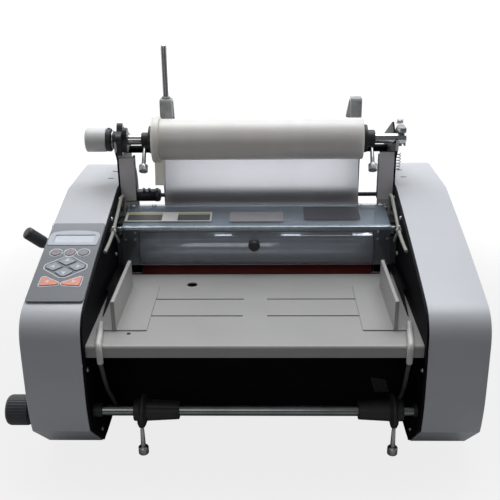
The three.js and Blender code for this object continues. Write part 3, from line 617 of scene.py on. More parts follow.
# ---- Camera, lights and stage ----
def make_camera():
    yaw, pitch, roll = math.radians(-1.378), math.radians(21.742), math.radians(0.682)
    ahead = Vector((math.sin(yaw) * math.cos(pitch), math.cos(yaw) * math.cos(pitch), -math.sin(pitch)))
    right = Vector((math.cos(yaw), -math.sin(yaw), 0))
    down = ahead.cross(right)
    tilted_right = math.cos(roll) * right + math.sin(roll) * down
    tilted_down = math.cos(roll) * down - math.sin(roll) * right
    turn = Matrix((tilted_right, -tilted_down, -ahead)).transposed()
    data = bpy.data.cameras.new("camera")
    data.sensor_width = 36
    data.lens = 56.22
    data.clip_end = 50
    camera = new_object("camera", data)
    camera.matrix_world = Matrix.Translation(at((17.91, -963.65, 682.84))) @ turn.to_4x4()
    bpy.context.scene.camera = camera


def make_light(name, place, aim, size, power, colour):
    data = bpy.data.lights.new(name, "AREA")
    data.shape = "RECTANGLE"
    data.size, data.size_y = size
    data.energy = power
    data.color = colour
    light = new_object(name, data)
    light.location = place
    light.rotation_mode = "QUATERNION"
    light.rotation_quaternion = (Vector(aim) - Vector(place)).to_track_quat("-Z", "Y")


def make_floor():
    """A pale floor that fades into the white round it.

    Its glow is for the camera's rays only, so it doesn't light the machine from below.
    """
    reach = 3.0
    mesh = bpy.data.meshes.new("floor")
    mesh.from_pydata([(-reach, -reach, 0), (reach, -reach, 0), (reach, reach, 0), (-reach, reach, 0)], [],
                     [(0, 1, 2, 3)])
    material = bpy.data.materials.new("floor")
    material.use_nodes = True
    tree = material.node_tree
    shader = tree.nodes["Principled BSDF"]
    shader.inputs["Base Color"].default_value = (0.40, 0.40, 0.40, 1)
    shader.inputs["Roughness"].default_value = 0.9
    where = wire(tree, "TexCoord", {}).outputs["Object"]
    centred = wire(tree, "VectorMath", {0: where, 1: (0, -0.15, 0)}, operation="ADD").outputs["Vector"]
    radius = wire(tree, "VectorMath", {0: centred}, operation="LENGTH").outputs["Value"]
    glow = wire(tree, "Emission", {"Color": (0.94, 0.94, 0.94, 1)})
    seen = wire(tree, "LightPath", {}).outputs["Is Camera Ray"]
    lit = wire(tree, "Math", {0: seen, 1: 0.88}, operation="MULTIPLY").outputs["Value"]
    mixed = wire(tree, "MixShader", {"Fac": lit, 1: shader.outputs["BSDF"], 2: glow.outputs["Emission"]})
    cover = wire(tree, "MapRange", {"Value": radius, "From Min": 0.45, "From Max": 0.95, "To Min": 1.0,
                                    "To Max": 0.0},
                 interpolation_type="SMOOTHSTEP")
    open_part = wire(tree, "BsdfTransparent", {})
    faded = wire(tree, "MixShader", {"Fac": cover.outputs["Result"], 1: open_part.outputs["BSDF"],
                                     2: mixed.outputs["Shader"]})
    tree.links.new(faded.outputs["Shader"], tree.nodes["Material Output"].inputs["Surface"])
    mesh.materials.append(material)
    new_object("floor", mesh)


def make_studio():
    scene = bpy.context.scene
    scene.view_settings.view_transform = "Standard"
    world = bpy.data.worlds.new("studio")
    scene.world = world
    world.use_nodes = True
    tree = world.node_tree
    direction = wire(tree, "TexCoord", {}).outputs["Generated"]
    backwards = wire(tree, "SeparateXYZ", {"Vector": direction}).outputs["Y"]
    share = wire(tree, "MapRange", {"Value": backwards, "From Min": -0.6,
                                    "From Max": 0.45}).outputs["Result"]
    sky = ramp(tree, share, [(0.0, (0.10, 0.10, 0.105)), (0.5, (0.30, 0.30, 0.31)), (1.0, (1.0, 1.0, 1.0))])
    tree.links.new(sky, tree.nodes["Background"].inputs["Color"])
    tree.nodes["Background"].inputs["Strength"].default_value = 1.05
    make_floor()
    middle = (0, 0, 0.2)
    make_light("key_above", (0.1, 0.55, 2.2), middle, (2.4, 1.4), 40, (0.94, 0.97, 1.0))
    make_light("back_glow", at((0, 760, 330)), at((0, 285, 285)), (0.5, 0.3), 1.0, (0.97, 0.98, 1.0))
    make_light("front_soft", (-0.5, -2.6, 1.5), middle, (1.6, 1.2), 6, (1.0, 0.97, 0.95))


# ---- Side housings ----
def quadratic(start, control, end, steps=14):
    points = []
    for i in range(1, steps + 1):
        t = i / steps
        points.append(tuple(
            (1 - t) ** 2 * start[k] + 2 * t * (1 - t) * control[k] + t * t * end[k] for k in (0, 1)))
    return points


def housing_outline():
    """The housings' outline seen from the right: chamfered foot, round nose, long slope, flat top."""
    outline = [(-5, 0), (-68, 59)]
    for control, end in [((-77, 92), (-75.5, 130)), ((-75, 165), (-73.5, 196)), ((-70, 231), (-37, 239)),
                         ((80, 274), (244, 310))]:
        outline.extend(quadratic(outline[-1], control, end))
    outline.append((376, 310))
    outline.extend(quadratic(outline[-1], (430, 310), (430, 256)))
    outline.append((430, 0))
    return outline


def add_housing(name, side):
    """A sheet shell, open towards its side plate. Each section is (distance from the middle, inset)."""
    skin, outer = HOUSING_HALF - 2, HOUSING_HALF
    sections = [(skin, 2), (225.6, 2), (225.3, 1.7), (225.3, 0.3), (225.6, 0), (303.2, 0), (304.1, 0.25),
                (304.75, 0.9), (outer, 1.8)]
    outline = housing_outline()
    count = len(outline)
    points, faces = [], []
    for distance, inset in sections:
        points.extend((side * distance, y, z) for y, z in grown(outline, -inset))
    for row in range(len(sections) - 1):
        for i in range(count):
            j = (i + 1) % count
            faces.append((row * count + i, row * count + j, (row + 1) * count + j, (row + 1) * count + i))
    faces.append(tuple(range(count)))
    faces.append(tuple(range((len(sections) - 1) * count, len(sections) * count)))
    cutters = [block(both((224, 303), side), (4, 428), (-5, 8))]
    for y in (299, 341):
        vent = rounded_outline([(240.5, y - 2), (250.5, y - 2), (250.5, y + 2), (240.5, y + 2)], 1.9)
        cutters.append(prism([(side * x, v) for x, v in vent], 304, 316, flat))
    if side < 0:
        cutters.append(bar((-320, -290), BOTTOM_Y, BOTTOM_Z, BOTTOM_R + 0.3))
        cutters.append(bar((-320, -290), PRESSURE_Y, PRESSURE_Z, 5.8))
    piece(f"{name}_cover_shell", (points, faces), HOUSING, "frame", [f"{name}_cover"],
          smooth=24,
          cutters=cutters)


def add_frame():
    for node in ("left_side_plate", "right_side_plate", "base_pan", "rear_panel"):
        dress(node, BLACK_STEEL, 0.35)
    for name, side in SIDES.items():
        post_top = 363.6 if side > 0 else 355.8
        flange = block(both((197.6, 221.8), side), (256.9, 257.9), (284, post_top))
        nose = block(both((221.4, 225.6), side), (246.7, 247.8), (368, 385))
        piece(f"{name}_post_skin", joined(flange, nose), POST_PAINT, "frame", bevel=0.3)
    left = [(-221.8, y, z) for y, z in ((-63, 153), (-14, 27), (166, 284), (236, 294), (178, 221))]
    screws("left_plate_screws", left, (1, 0, 0), 3.6, "frame")
    right = [(221.8, y, z) for y, z in ((-62, 152), (-14, 27), (166, 284), (236, 294), (178, 221))]
    screws("right_plate_screws", right, (-1, 0, 0), 3.6, "frame")
    collars = [bar(both((far, 221.8), side), BOTTOM_Y, BOTTOM_Z, 9.5, 0.6) for side,
               far in ((-1, 209), (1, 216.5))]
    drilled = [bar((-230, 230), BOTTOM_Y, BOTTOM_Z, BOTTOM_R + 0.25)]
    piece("lower_shaft_collars", joined(*collars), BLACK_HUB, "frame", cutters=drilled)
    # A thin dark four-sided patch at the front, under the table.
    mark = rounded_outline([(171, 70), (195, 66), (201, 44), (179, 45)], 2.5)
    piece("dark_wall_patch", prism(mark, 56.4, 56.9, lambda a, b, h: (a, h, b)), DARK_WALL_PATCH, "frame")


def add_feet():
    profile = [(-12, 0), (-12, 14), (-11.4, 15), (-10.4, 16), (-0.9, 13.4), (-0.3, 12.6), (-0.3, 0)]
    for name, x, y in (("front_left", -262, 50), ("front_right", 262, 50), ("rear_left", -262, 380),
                       ("rear_right", 262, 380)):
        piece(f"rubber_foot_{name}", turned(profile, (x, y, 0), (0, 0, 1)), RUBBER, "frame",
              [f"foot_{name}"])


def add_rear_fittings():
    dress("power_inlet", INLET, 0.4)
    dress("power_switch", ROCKER, 0.8)
    pins = [block((x - 1, x + 1), (408, 425.5), (z - 2.4, z + 2.4)) for x,
            z in ((158, 55.5), (164, 50.5), (170, 55.5))]
    piece("inlet_pins", joined(*pins), SCREW, "frame", bevel=0.4)
    screws("inlet_screws", [(147.2, 428.9, 53), (180.8, 428.9, 53)], (0, 1, 0), 1.7, "frame")


# ---- Control panel, in its own axes: u across, v up the slope, w out of it ----
SLOPE_Y, SLOPE_Z, SLOPE_TILT = -37.0, 239.0, math.radians(14.9)
FACE = 3.2
ARROWS_U, ARROWS_V = -263.4, 73.3
ROUND_KEYS = {"left": -284.0, "middle": -263.7, "right": -244.3}
ROUND_V = 106.5


def on_panel(u, v, w):
    return (u, SLOPE_Y + v * math.cos(SLOPE_TILT) - w * math.sin(SLOPE_TILT),
            SLOPE_Z + v * math.sin(SLOPE_TILT) + w * math.cos(SLOPE_TILT))


def band(outer, inner, low, high, place):
    """A closed ring between two outlines of the same number of points."""
    count = len(outer)
    points = [place(a, b, h) for h, outline in ((low, outer), (high, outer), (high, inner), (low, inner))
              for a, b in outline]
    faces = []
    for row in range(4):
        for i in range(count):
            j = (i + 1) % count
            other = (row + 1) % 4
            faces.append((row * count + i, row * count + j, other * count + j, other * count + i))
    return points, faces


def circle(u, v, radius, steps=40):
    return arc(u, v, radius, 0, 360, steps)[:-1]


def key_outlines():
    """Each key's outline, finish and the mark on it."""
    u, v = ARROWS_U, ARROWS_V
    up = [(u - 13, v + 12), (u, v + 2.5), (u + 13, v + 12), (u + 3, v + 21.5), (u - 3, v + 21.5)]
    left = [(u - 16, v + 9.5), (u - 27, v + 3), (u - 27, v - 3), (u - 16, v - 9.5), (u - 3.5, v)]
    stop = [(-291.5, 30.7), (-267, 33.2), (-266, 37.7), (-287.5, 50.7), (-290.5, 49.7)]
    start = [(-260.5, 33.2), (-236.5, 30.7), (-235.5, 49.7), (-238.5, 50.7), (-261.5, 37.7)]

    def pointer(cu, cv, turn):
        corners = [(4.2, 0), (-2.6, 3.6), (-2.6, -3.6)]
        c, s = math.cos(turn), math.sin(turn)
        return [(cu + a * c - b * s, cv + a * s + b * c) for a, b in corners]

    def bar_mark(cu, cv, long, high):
        return rounded_outline([(cu - long, cv - high), (cu + long, cv - high), (cu + long, cv + high),
                                (cu - long, cv + high)], high * 0.8)

    quarter = math.pi / 2
    return {
        **{f"round_key_{name}": (circle(ROUND_KEYS[name], ROUND_V, 7.4), KEY_DARK,
                                 bar_mark(ROUND_KEYS[name], ROUND_V, *size), ink)
           for name, size, ink in (("left", (3.8, 1.1), INK_RED), ("middle", (1.2, 3.4), INK_RED),
                                   ("right", (3.4, 0.7), KEY_GREY))},
        "arrow_key_up": (rounded_outline(up, 2.4), KEY_GREY, pointer(u, v + 14.5, quarter), INK_PALE),
        "arrow_key_down": (rounded_outline([(a, 2 * v - b) for a, b in up], 2.4), KEY_GREY,
                           pointer(u, v - 14.5, -quarter), INK_PALE),
        "arrow_key_left": (rounded_outline(left, 2.4), KEY_GREY, pointer(u - 18, v, math.pi), INK_PALE),
        "arrow_key_right": (rounded_outline([(2 * u - a, b) for a, b in left], 2.4), KEY_GREY,
                            pointer(u + 18, v, 0), INK_PALE),
        "stop_key": (rounded_outline(stop, 2.6), KEY_ORANGE, bar_mark(-281.5, 39.7, 2.2, 2.2), INK_PALE),
        "start_key": (rounded_outline(start, 2.6), KEY_ORANGE, pointer(-245, 39.9, 0), INK_PALE),
    }


def add_control_panel():
    keys = key_outlines()
    window = [(-293.5, 129.5), (-233.7, 129.5), (-233.7, 149.6), (-293.5, 149.6)]
    cutters = [prism(window, FACE - 0.8, FACE + 2, on_panel)]
    cutters += [prism(grown(outline, 0.55), FACE - 0.9, FACE + 2, on_panel) for outline,
                *_ in keys.values()]
    plate = rounded_outline([(-303, -1), (-225, -1), (-225, 180), (-303, 180)], 5)
    piece("panel_plate", prism(plate, FACE - 1.6, FACE, on_panel), OVERLAY, "frame", ["control_panel"],
          cutters=cutters, bevel=0.25)
    for name, (outline, finish, mark, ink) in keys.items():
        piece(f"{name}_cap", prism(outline, FACE - 0.3, FACE + 1, on_panel), finish, name, [name],
              bevel=0.5)
        piece(f"{name}_mark", prism(mark, FACE + 0.95, FACE + 1.06, on_panel), ink, name)
    outlined = [outline for name, (outline, *_) in keys.items() if "arrow" not in name]
    u, v = ARROWS_U, ARROWS_V
    cluster = [(u - 30, v - 4.5), (u - 5, v - 23.7), (u + 5, v - 23.7), (u + 30, v - 4.5),
               (u + 30, v + 4.5),
               (u + 5, v + 23.7), (u - 5, v + 23.7), (u - 30, v + 4.5)]
    rings_shape = [band(grown(outline, 1.9), grown(outline, 0.7), FACE - 0.02, FACE + 0.14, on_panel)
                   for outline in outlined]
    soft = rounded_outline(cluster, 6)
    rings_shape.append(band(grown(soft, 0.6), grown(soft, -0.5), FACE - 0.02, FACE + 0.14, on_panel))
    piece("key_surrounds", joined(*rings_shape), INK_WHITE, "frame")
    frame_outline = [(-301, 124), (-229, 123.5), (-227, 146), (-229.5, 153)]
    frame_outline += [(-264.5 + 34.5 * math.cos(t), 153 + 7 * math.sin(t))
                      for t in (math.pi * k / 12 for k in range(1, 12))]
    frame_outline += [(-299.5, 153), (-302, 144)]
    hole = rounded_outline([(-292.6, 130.4), (-234.6, 130.4), (-234.6, 148.8), (-292.6, 148.8)], 1.2)
    piece("display_bezel", prism(rounded_outline(frame_outline, 2.5, 3), FACE - 0.05, FACE + 0.8, on_panel),
          BEZEL, "frame", bevel=0.35,
          cutters=[prism(hole, FACE - 2, FACE + 3, on_panel)])
    glass = [(-293.2, 129.8), (-234, 129.8), (-234, 149.3), (-293.2, 149.3)]
    piece("display_window", prism(glass, FACE - 0.75, FACE - 0.1, on_panel), LCD, "frame",
          bevel=0.2)


# ---- Feed table and side guides ----
def add_table():
    line = [(-64, 172), (-64, 184.6), *arc(-60.6, 184.6, 3.4, 180, 90)[1:], (TABLE_BACK - 4.4, 188),
            *arc(TABLE_BACK - 4.4, 184.6, 3.4, 90, 0)[1:], (TABLE_BACK - 1, 177)]
    cutters = []
    for y in (24, 79):
        for side in SIDES.values():
            slot = rounded_outline([(17, y - 1.6), (178, y - 1.6), (178, y + 1.6), (17, y + 1.6)], 1.55)
            cutters.append(prism([(side * x, v) for x, v in slot], 180, 196, flat))
    cutters.append(turned([(180, 0), (180, 8), (196, 8), (196, 0)], (-98, 131.5, 0), (0, 0, 1)))
    cutters.append(turned([(180, 0), (180, 3), (196, 3), (196, 0)], (-170, -29, 0), (0, 0, 1)))
    piece("table_sheet", folded(line, 2, (-221.7, 221.7)), TABLE, "frame", ["feed_table"],
          cutters=cutters, bevel=0.3)
    # Painted shade: black strips laid just under the table's slots, so that the slots read dark.
    slot_shade_strips = [block(both((15, 180), side), (y - 1.9, y + 1.9), (185.4, 186.6)) for y in (24, 79)
              for side in SIDES.values()]
    piece("table_slot_shade_strips", joined(*slot_shade_strips), BLACK_STEEL, "frame")
    for name, side in SIDES.items():
        outline = [(146.6, 189.3), (206, 189.3), (206, 190.8), (193.5, 190.8), (193.5, 232), (192.5, 233),
                   (189, 233), (188, 232), (188, 192.8), (187.4, 191.4), (186, 190.8), (146.6, 190.8)]
        guide = prism([(side * x, z) for x, z in outline], -22, 123, lambda a, b, h: (a, h, b))
        piece(f"{name}_guide_angle", guide, TABLE, f"{name}_guide", [f"{name}_side_guide"],
              bevel=0.45)


# ---- Rollers, drive and pressure lever ----
def add_rollers():
    for name, y, z, radius, journal, finish, slot in (
            ("upper_roller", ROLLER_Y, UPPER_Z, ROLLER_R, 9, ROLLER, "roller_chrome"),
            ("lower_roller", ROLLER_Y, LOWER_Z, ROLLER_R, 9, SILICONE, "red_silicone"),
            ("lower_pull_roller", PULL_Y, PULL_LOWER_Z, PULL_R, 7, PULL_RUBBER, "pull_rubber")):
        dress(name, GEAR, 0.2)
        end, top, neck = ROLLER_HALF + 0.1, radius + 0.05, journal + 0.05
        profile = [(-221.5, 0), (-221.5, neck), (-end, neck), (-end, top - 1.2), (-end + 0.4, top - 0.4),
                   (-end + 1.2, top), (end - 1.2, top), (end - 0.4, top - 0.4), (end, top - 1.2),
                   (end, neck),
                   (221.5, neck), (221.5, 0)]
        piece(f"{name}_face", turned(profile, (0, y, z), sides=96), finish, name)
    dress("idler_gear", GEAR, 0.2)
    upper = [(-163, 0), (-163, 5), (-139, 5), (-139, PULL_R - 0.8), (-138.2, PULL_R), (154.2, PULL_R),
             (155, PULL_R - 0.8), (155, 5), (177, 5), (177, 0)]
    piece("upper_pull_face", turned(upper, (0, PULL_Y, PULL_UPPER_Z), sides=72), PULL_RUBBER,
          "upper_pull_roller",
          ["upper_pull_roller"])
    motor = [(238.3, 0), (238.3, 25), (239.3, 26), (259.5, 26), (260.3, 30), (261.3, 31), (296.6, 31),
             (298, 29.6),
             (298, 0)]
    piece("drive_motor_case", turned(motor, (0, ROLLER_Y, LOWER_Z)), MOTOR, "frame", ["drive_motor"])
    for name, side in SIDES.items():
        dress(f"{name}_bearing_block", BLACK_BLOCK, 0.9)
        cap = block(both((187.2, 210.2), side), (186.2, 189.6), (238, 258.5))
        piece(f"{name}_block_cap", cap, BLACK_BLOCK, "roller_carriage", bevel=0.8)
        places = [(side * x, 186.3, z) for x, z in ((191, 254), (191, 242.5), (206.5, 242.5))]
        screws(f"{name}_block_screws", places, (0, -1, 0), 2.3, "roller_carriage")


def add_pressure_lever():
    offset = 3 * math.sqrt(0.5)
    parts = [bar((-322, 224), PRESSURE_Y, PRESSURE_Z, 5.5),
             bar((-322, -306.5), PRESSURE_Y, PRESSURE_Z, 11, 1)]
    for side in SIDES.values():
        parts.append(bar(both((211, 221), side), PRESSURE_Y - offset, PRESSURE_Z - offset, 9))
    arm = curve_points([(-315, PRESSURE_Y, PRESSURE_Z), (-315.5, 168, 252.5), (-316, 146, 249)], 14)
    parts.append(tube(arm, 4.6))
    piece("pressure_shaft_turned", joined(*parts), DARK_CHROME, "pressure_lever", ["pressure_shaft"])
    grip = curve_points([(-318.6, 130.7, 257.8), (-328.6, 123.8, 269.1), (-338, 117.4, 279.7)], 24)

    def swell(i):
        return 0.86 + 0.14 * min(1.0, i / 3)

    knuckle = curve_points([(-316.2, 145.5, 248.9), (-317, 138, 250.5), (-321, 129, 260.5)], 12)
    piece("pressure_grip_moulded", joined(tube(grip, 9.5, 32, wave=swell, rounded=3.0),
                                          tube(knuckle, 6.2, 24)),
          BLACK_GRIP, "pressure_lever", ["pressure_grip"])


def add_shield():
    bend = [(188.6 + 5.4 * math.cos(t), 260 + 5.4 * math.sin(t))
            for t in (1.75 + (math.pi - 0.03 - 1.75) * k / 12 for k in range(13))]
    line = [(258, 276.2), (188, 265.6), *bend, (182, 201)]
    piece("shield_sheet", folded(line, 2.5, (-209.5, 209.5)), CLEAR, "shield", ["shield"],
          bevel=0.35)
    knob = [(0, 0), (0, 8.2), (0.8, 9), (7.5, 9), (10.4, 7.6), (11.7, 5), (12, 2.5), (12, 0)]
    piece("shield_knob_turned", turned(knob, (-3, 180, 236), (0, -1, 0)), BLACK_HUB, "shield",
          ["shield_knob"])
    piece("shield_rod_turned", bar((-224.5, 224.5), ROD_Y, ROD_Z, 4), DARK_CHROME, "shield",
          ["shield_rod"])
    lean = math.atan2(276.2 - 265.6, 258 - 188)

    def on_top(a, b, h):
        """a across, b back along the shield's top from its bend, h above it."""
        rise = 1.25 + h
        return (a, 188 + b * math.cos(lean) - rise * math.sin(lean),
                265.6 + b * math.sin(lean) + rise * math.cos(lean))

    def label(u0, u1, v0, v1, low, high, radius=1.5):
        return prism(rounded_outline([(u0, v0), (u1, v0), (u1, v1), (u0, v1)], radius), low, high, on_top)

    plates = {
        "shield_label_left": (LABEL_WHITE, [label(-209, -71, 11, 42, 0.02, 0.2)]),
        "shield_label_left_dark": (LABEL_DARK, [label(-205, -150, 13.5, 33.5, 0.18, 0.28, 0.6),
                                                label(-125, -73.5, 13.5, 33.5, 0.18, 0.28, 0.6)]),
        "shield_label_left_bars": (LABEL_YELLOW, [label(-205, -150, 34.5, 39.5, 0.18, 0.28, 0.6),
                                                  label(-125, -73.5, 34.5, 39.5, 0.18, 0.28, 0.6)]),
        "shield_label_middle": (LABEL_LIGHT, [label(-42, 43, 9, 42, 0.02, 0.3)]),
        "shield_label_right": (LABEL_BLUE, [label(76, 165, 15, 59, 0.02, 0.2)]),
    }
    for name, (finish, shapes) in plates.items():
        piece(name, joined(*shapes), finish, "shield")
    up = (0, -math.sin(lean), math.cos(lean))
    screws("shield_screws", [on_top(x, 64, 0) for x in (-168, 168, 203, -203)], up, 4.2, "shield")


# ---- Film supply on top ----
def thumb_screw(x, y, top, length):
    """A threaded end, a plain tapering shank and a knurled head with a hollow end."""
    def knurl(angle, height):
        return 1 + 0.025 * math.cos(24 * angle) if length - 9.5 < height < length - 1 else 1
    profile = [(0, 0), (0, 1.8), (5, 1.8), (7, 2.7), (length - 13, 3.5), (length - 12, 5.4),
               (length - 10.5, 7),
               (length - 9.8, 7.2), (length - 0.8, 7.2), (length, 6.6), (length, 5), (length - 2.2, 4.6),
               (length - 2.2, 0)]
    return turned(profile, (x, y, top), (0, 0, -1), 48, wave=knurl)


SCREW_TILT = 40.0


def lobed(count, mean, swing, phase, steps=120):
    points = []
    for i in range(steps):
        turn = 2 * math.pi * i / steps
        radius = mean + swing * math.cos(count * turn + phase)
        points.append((SUPPLY_Y + radius * math.cos(turn), SUPPLY_Z + radius * math.sin(turn)))
    return points


def add_supply():
    piece("supply_shaft_turned", bar((-231, 239), SUPPLY_Y, SUPPLY_Z, SUPPLY_R, 1), CHROME, "film_supply",
          ["supply_shaft"])
    roll = [(-164.5, 20), (-164.5, 35.8), (-163.8, 36.5), (-153.6, 36.5), (-152.8, 36), (-152.2, 32.8),
            (168.8, 32.8),
            (169.5, 32.2), (169.5, 20)]
    wound = piece("film_roll_wound", turned(roll, (0, SUPPLY_Y, SUPPLY_Z), sides=128), FILM_ROLL,
                  "film_supply",
                  ["film_roll"])
    wound.data.materials.append(FILM_END)
    for polygon in wound.data.polygons:
        if abs(polygon.normal.x) > 0.8 and polygon.area > 1e-6:
            polygon.material_index = 1
    cores = [turned([(low, 20.2), (low, 22.8), (high, 22.8), (high, 20.2)], (0, SUPPLY_Y, SUPPLY_Z))
             for low, high in ((-165.1, -158), (163, 170.1))]
    piece("film_core", joined(*cores), CORE, "film_supply")


def add_chucks():
    for name, side in SIDES.items():
        inner, flange, end, hub = (165.3, 170.5, 183, 11.5) if side < 0 else (170.3, 176.5, 189, 13.5)
        profile = [(end, 8.3), (end, hub - 1), (end - 1, hub), (flange + 0.6, hub), (flange, hub + 0.7),
                   (flange, 21.4),
                   (flange - 0.6, 22), (inner + 0.6, 22), (inner, 21.4), (inner, 19.7), (150, 18.5),
                   (148, 8.3)]
        piece(f"{name}_chuck_hub", turned([(side * x, r) for x, r in profile], (0, SUPPLY_Y, SUPPLY_Z)),
              BLACK_HUB,
              "film_supply", [f"{name}_supply_chuck"])
        screw = thumb_screw(side * (end - 5), SUPPLY_Y, SUPPLY_Z - 10, 46)
        piece(f"{name}_chuck_screw", tilted(screw, -SCREW_TILT, SUPPLY_Y, SUPPLY_Z), SCREW, "film_supply")


def add_brake():
    star = prism(lobed(5, 23, 4, -math.pi / 2), -221.3, -212.5, side_on)
    neck = bar((-228, -221.2), SUPPLY_Y, SUPPLY_Z, 13.6)
    boss = prism(lobed(3, 17.5, 3.5, 0.6), -212.6, -205, side_on)
    piece("brake_star_moulded", joined(star, boss, neck), BLACK_HUB, "film_supply", ["brake_star"],
          bevel=1.3)
    piece("brake_washer", turned([(-229.6, 8.2), (-229.6, 15), (-228.1, 15), (-228.1, 8.2)],
                                 (0, SUPPLY_Y, SUPPLY_Z)), SCREW, "film_supply", bevel=0.4)
    knob = [(-272, 0), (-272, 16.6), (-271.2, 18), (-270, 19), (-241, 19), (-239.6, 18.4), (-239.2, 17.4),
            (-239.2, 0)]
    piece("brake_knob_turned", turned(knob, (0, SUPPLY_Y, SUPPLY_Z), sides=72), GREY_KNOB, "brake_knob",
          ["brake_knob"])
    disc = [(-239.3, 0), (-239.3, 17), (-238, 17.3), (-237.4, 18.5), (-232.2, 18.5), (-231.4, 17.7),
            (-231.4, 0)]
    piece("brake_disc", turned(disc, (0, SUPPLY_Y, SUPPLY_Z)), BLACK_HUB, "brake_knob")
    screws("brake_disc_screw", [(-235, SUPPLY_Y, SUPPLY_Z + 18.2)], (0, 0, 1), 2.6, "brake_knob", BLACK_HUB)


def helix(x, y, low, high, radius, turns):
    steps = 16 * turns
    return [(x + radius * math.cos(2 * math.pi * i / 16), y + radius * math.sin(2 * math.pi * i / 16),
             low + (high - low) * i / steps) for i in range(steps + 1)]


def add_latch():
    outline = rounded_outline([(250, 396), (250, 404), (276, 404), (296, 392), (296, 366), (284, 366),
                               (280, 394.5)], 2)
    pivot = bar((225.5, 240), 290, 373, 4)
    piece("latch_plate", joined(prism(outline, 227, 237, side_on), pivot), CASTING, "shaft_latch",
          ["shaft_latch"],
          bevel=0.9)
    wedge = prism([(262, 372), (270, 393), (284, 393), (288, 372)], 236.8, 239.4, side_on)
    nut = turned([(225.6, 0), (225.6, 4.6), (227, 5.2), (235, 5.2), (236.4, 4.4), (236.4, 0)],
                 (0, 284, 408), sides=6)
    piece("latch_fittings", joined(wedge, nut), SCREW, "shaft_latch", bevel=0.4)
    piece("latch_spring", tube(helix(229.8, 265, 331, 360, 3.2, 6), 0.7, 8), SCREW, "frame")


# ---- Film path ----
def add_film():
    wrap = ROLLER_R + 0.7
    lifted = UPPER_Z + 3.5
    start, first, second, end = (299.2, 385), (297.5, 290), (276, 250), (ROLLER_Y, lifted + wrap)
    line = []
    for i in range(49):
        t = i / 48
        weights = ((1 - t) ** 3, 3 * t * (1 - t) ** 2, 3 * t * t * (1 - t), t ** 3)
        line.append(tuple(sum(w * p[k] for w, p in zip(weights, (start, first, second, end))) for k in (0,
                                                                                                        1)))
    line += arc(ROLLER_Y, lifted, wrap, 90, 180, 24)[1:]
    line += arc(ROLLER_Y, UPPER_Z, wrap, 180, 270, 24)
    line += [(PULL_Y, 191), (420, 191)]
    edge = [point for point in line[:40] if point[1] > 298]
    for name, path, span, finish, node, rests in (
            ("film_web_sheet", line, (-152.3, 169), WEB, ["film_web"],
             ["film_roll_wound", "upper_roller_face"]),
            ("film_edge_sheet", edge, (-169.5, -152.9), WEB_EDGE, [], ["film_roll_wound"])):
        web = piece(name, folded(path, FILM_THICK, span), finish, "frame", node)


def add_pull_arms():
    piece("rear_bar_turned", bar((-224.5, 224.5), PULL_Y, CROSS_Z, 6.3), BLACK_STEEL, "frame",
          ["rear_cross_bar"])
    half = [(9, 198), (11, 230), (11, 320), (15, 340), (15, 358), (12, 380), (12, 430), (9, 435)]
    ribs = {"left": [(-141.2, 404), (-138.6, 404), (-139.6, 431), (-141.2, 431)],
            "right": [(157.2, 400), (157.2, 431), (155.6, 431), (150.2, 404), (150.2, 400)]}
    outline = [(PULL_Y + y, z) for y, z in half] + [(PULL_Y - y, z) for y, z in reversed(half)]
    outline = rounded_outline(outline, 4)
    for name, x0, x1 in (("left", -162, -141), ("right", 157, 176)):
        middle = (x0 + x1) / 2
        boss = turned([(-13.5, 0), (-13.5, 7), (-12, 7.6), (12, 7.6), (13.5, 7), (13.5, 0)],
                      (middle, PULL_Y, LIFT_Z), (0, 1, 0))
        hole = turned([(426, 0), (426, 2.2), (440, 2.2), (440, 0)], (middle, PULL_Y, 0), (0, 0, 1), 20)
        piece(f"{name}_arm_casting", joined(prism(outline, x0, x1, side_on)), CASTING, "pull_arms",
              [f"{name}_pull_arm"], bevel=2.2, cutters=[hole])
        rib = prism(ribs[name], PULL_Y - 3, PULL_Y + 3, lambda a, b, h: (a, h, b))
        piece(f"{name}_arm_boss", joined(boss, rib), CASTING, "pull_arms")
    lever = [(LIFT_Z, 0), (LIFT_Z, 5.6), (440, 5.6), (441, 5.3), (518, 5.3), (522, 4.4), (523.6, 2.6),
             (524, 0)]
    parts = [bar((-164, 178), PULL_Y, LIFT_Z, 5), turned(lever, (LEVER_X, PULL_Y, 0), (0, 0, 1)),
             bar((-140.7, -134), PULL_Y, LIFT_Z, 9), bar((150, 156.7), PULL_Y, LIFT_Z, 9)]
    piece("lift_lever", joined(*parts), CHROME, "pull_arms", ["lift_shaft"])
    collar = turned([(434.6, 5.2), (434.6, 7.4), (438, 7.4), (439, 5.2)], (LEVER_X, PULL_Y, 0), (0, 0, 1),
                    32)
    piece("lever_collar", collar, CASTING, "pull_arms", bevel=0.4)


def add_blower():
    motor = [(-221.7, 0), (-221.7, 10.2), (-220.6, 11), (-205, 11), (-204, 10.4), (-172, 10.4), (-171, 11),
             (-166, 11), (-163.6, 9.4), (-163, 8), (-163, 0)]
    piece("blower_motor_case", turned(motor, (0, BLOWER_Y, BLOWER_Z)), BLACK_BAR, "frame",
          ["blower_motor"])
    rotor = [(-162.7, 0), (-162.7, 3.5), (-150, 3.5), (-150, 13), (-149, 14), (164, 14), (165, 13),
             (165, 3.5),
             (224.5, 3.5), (224.5, 0)]

    def fins(angle, x):
        return 1 + 0.04 * math.cos(18 * angle) if -149.5 < x < 164.5 else 1

    piece("blower_rotor_finned", turned(rotor, (0, BLOWER_Y, BLOWER_Z), sides=144, wave=fins), BLACK_BAR,
          "blower_rotor", ["blower_rotor"])
    terminals = [block((x, x + 4), (292, 297), (290.5, 295)) for x in (-192, -183, -170)]
    piece("blower_terminals", joined(*terminals), SCREW, "frame", bevel=0.5)


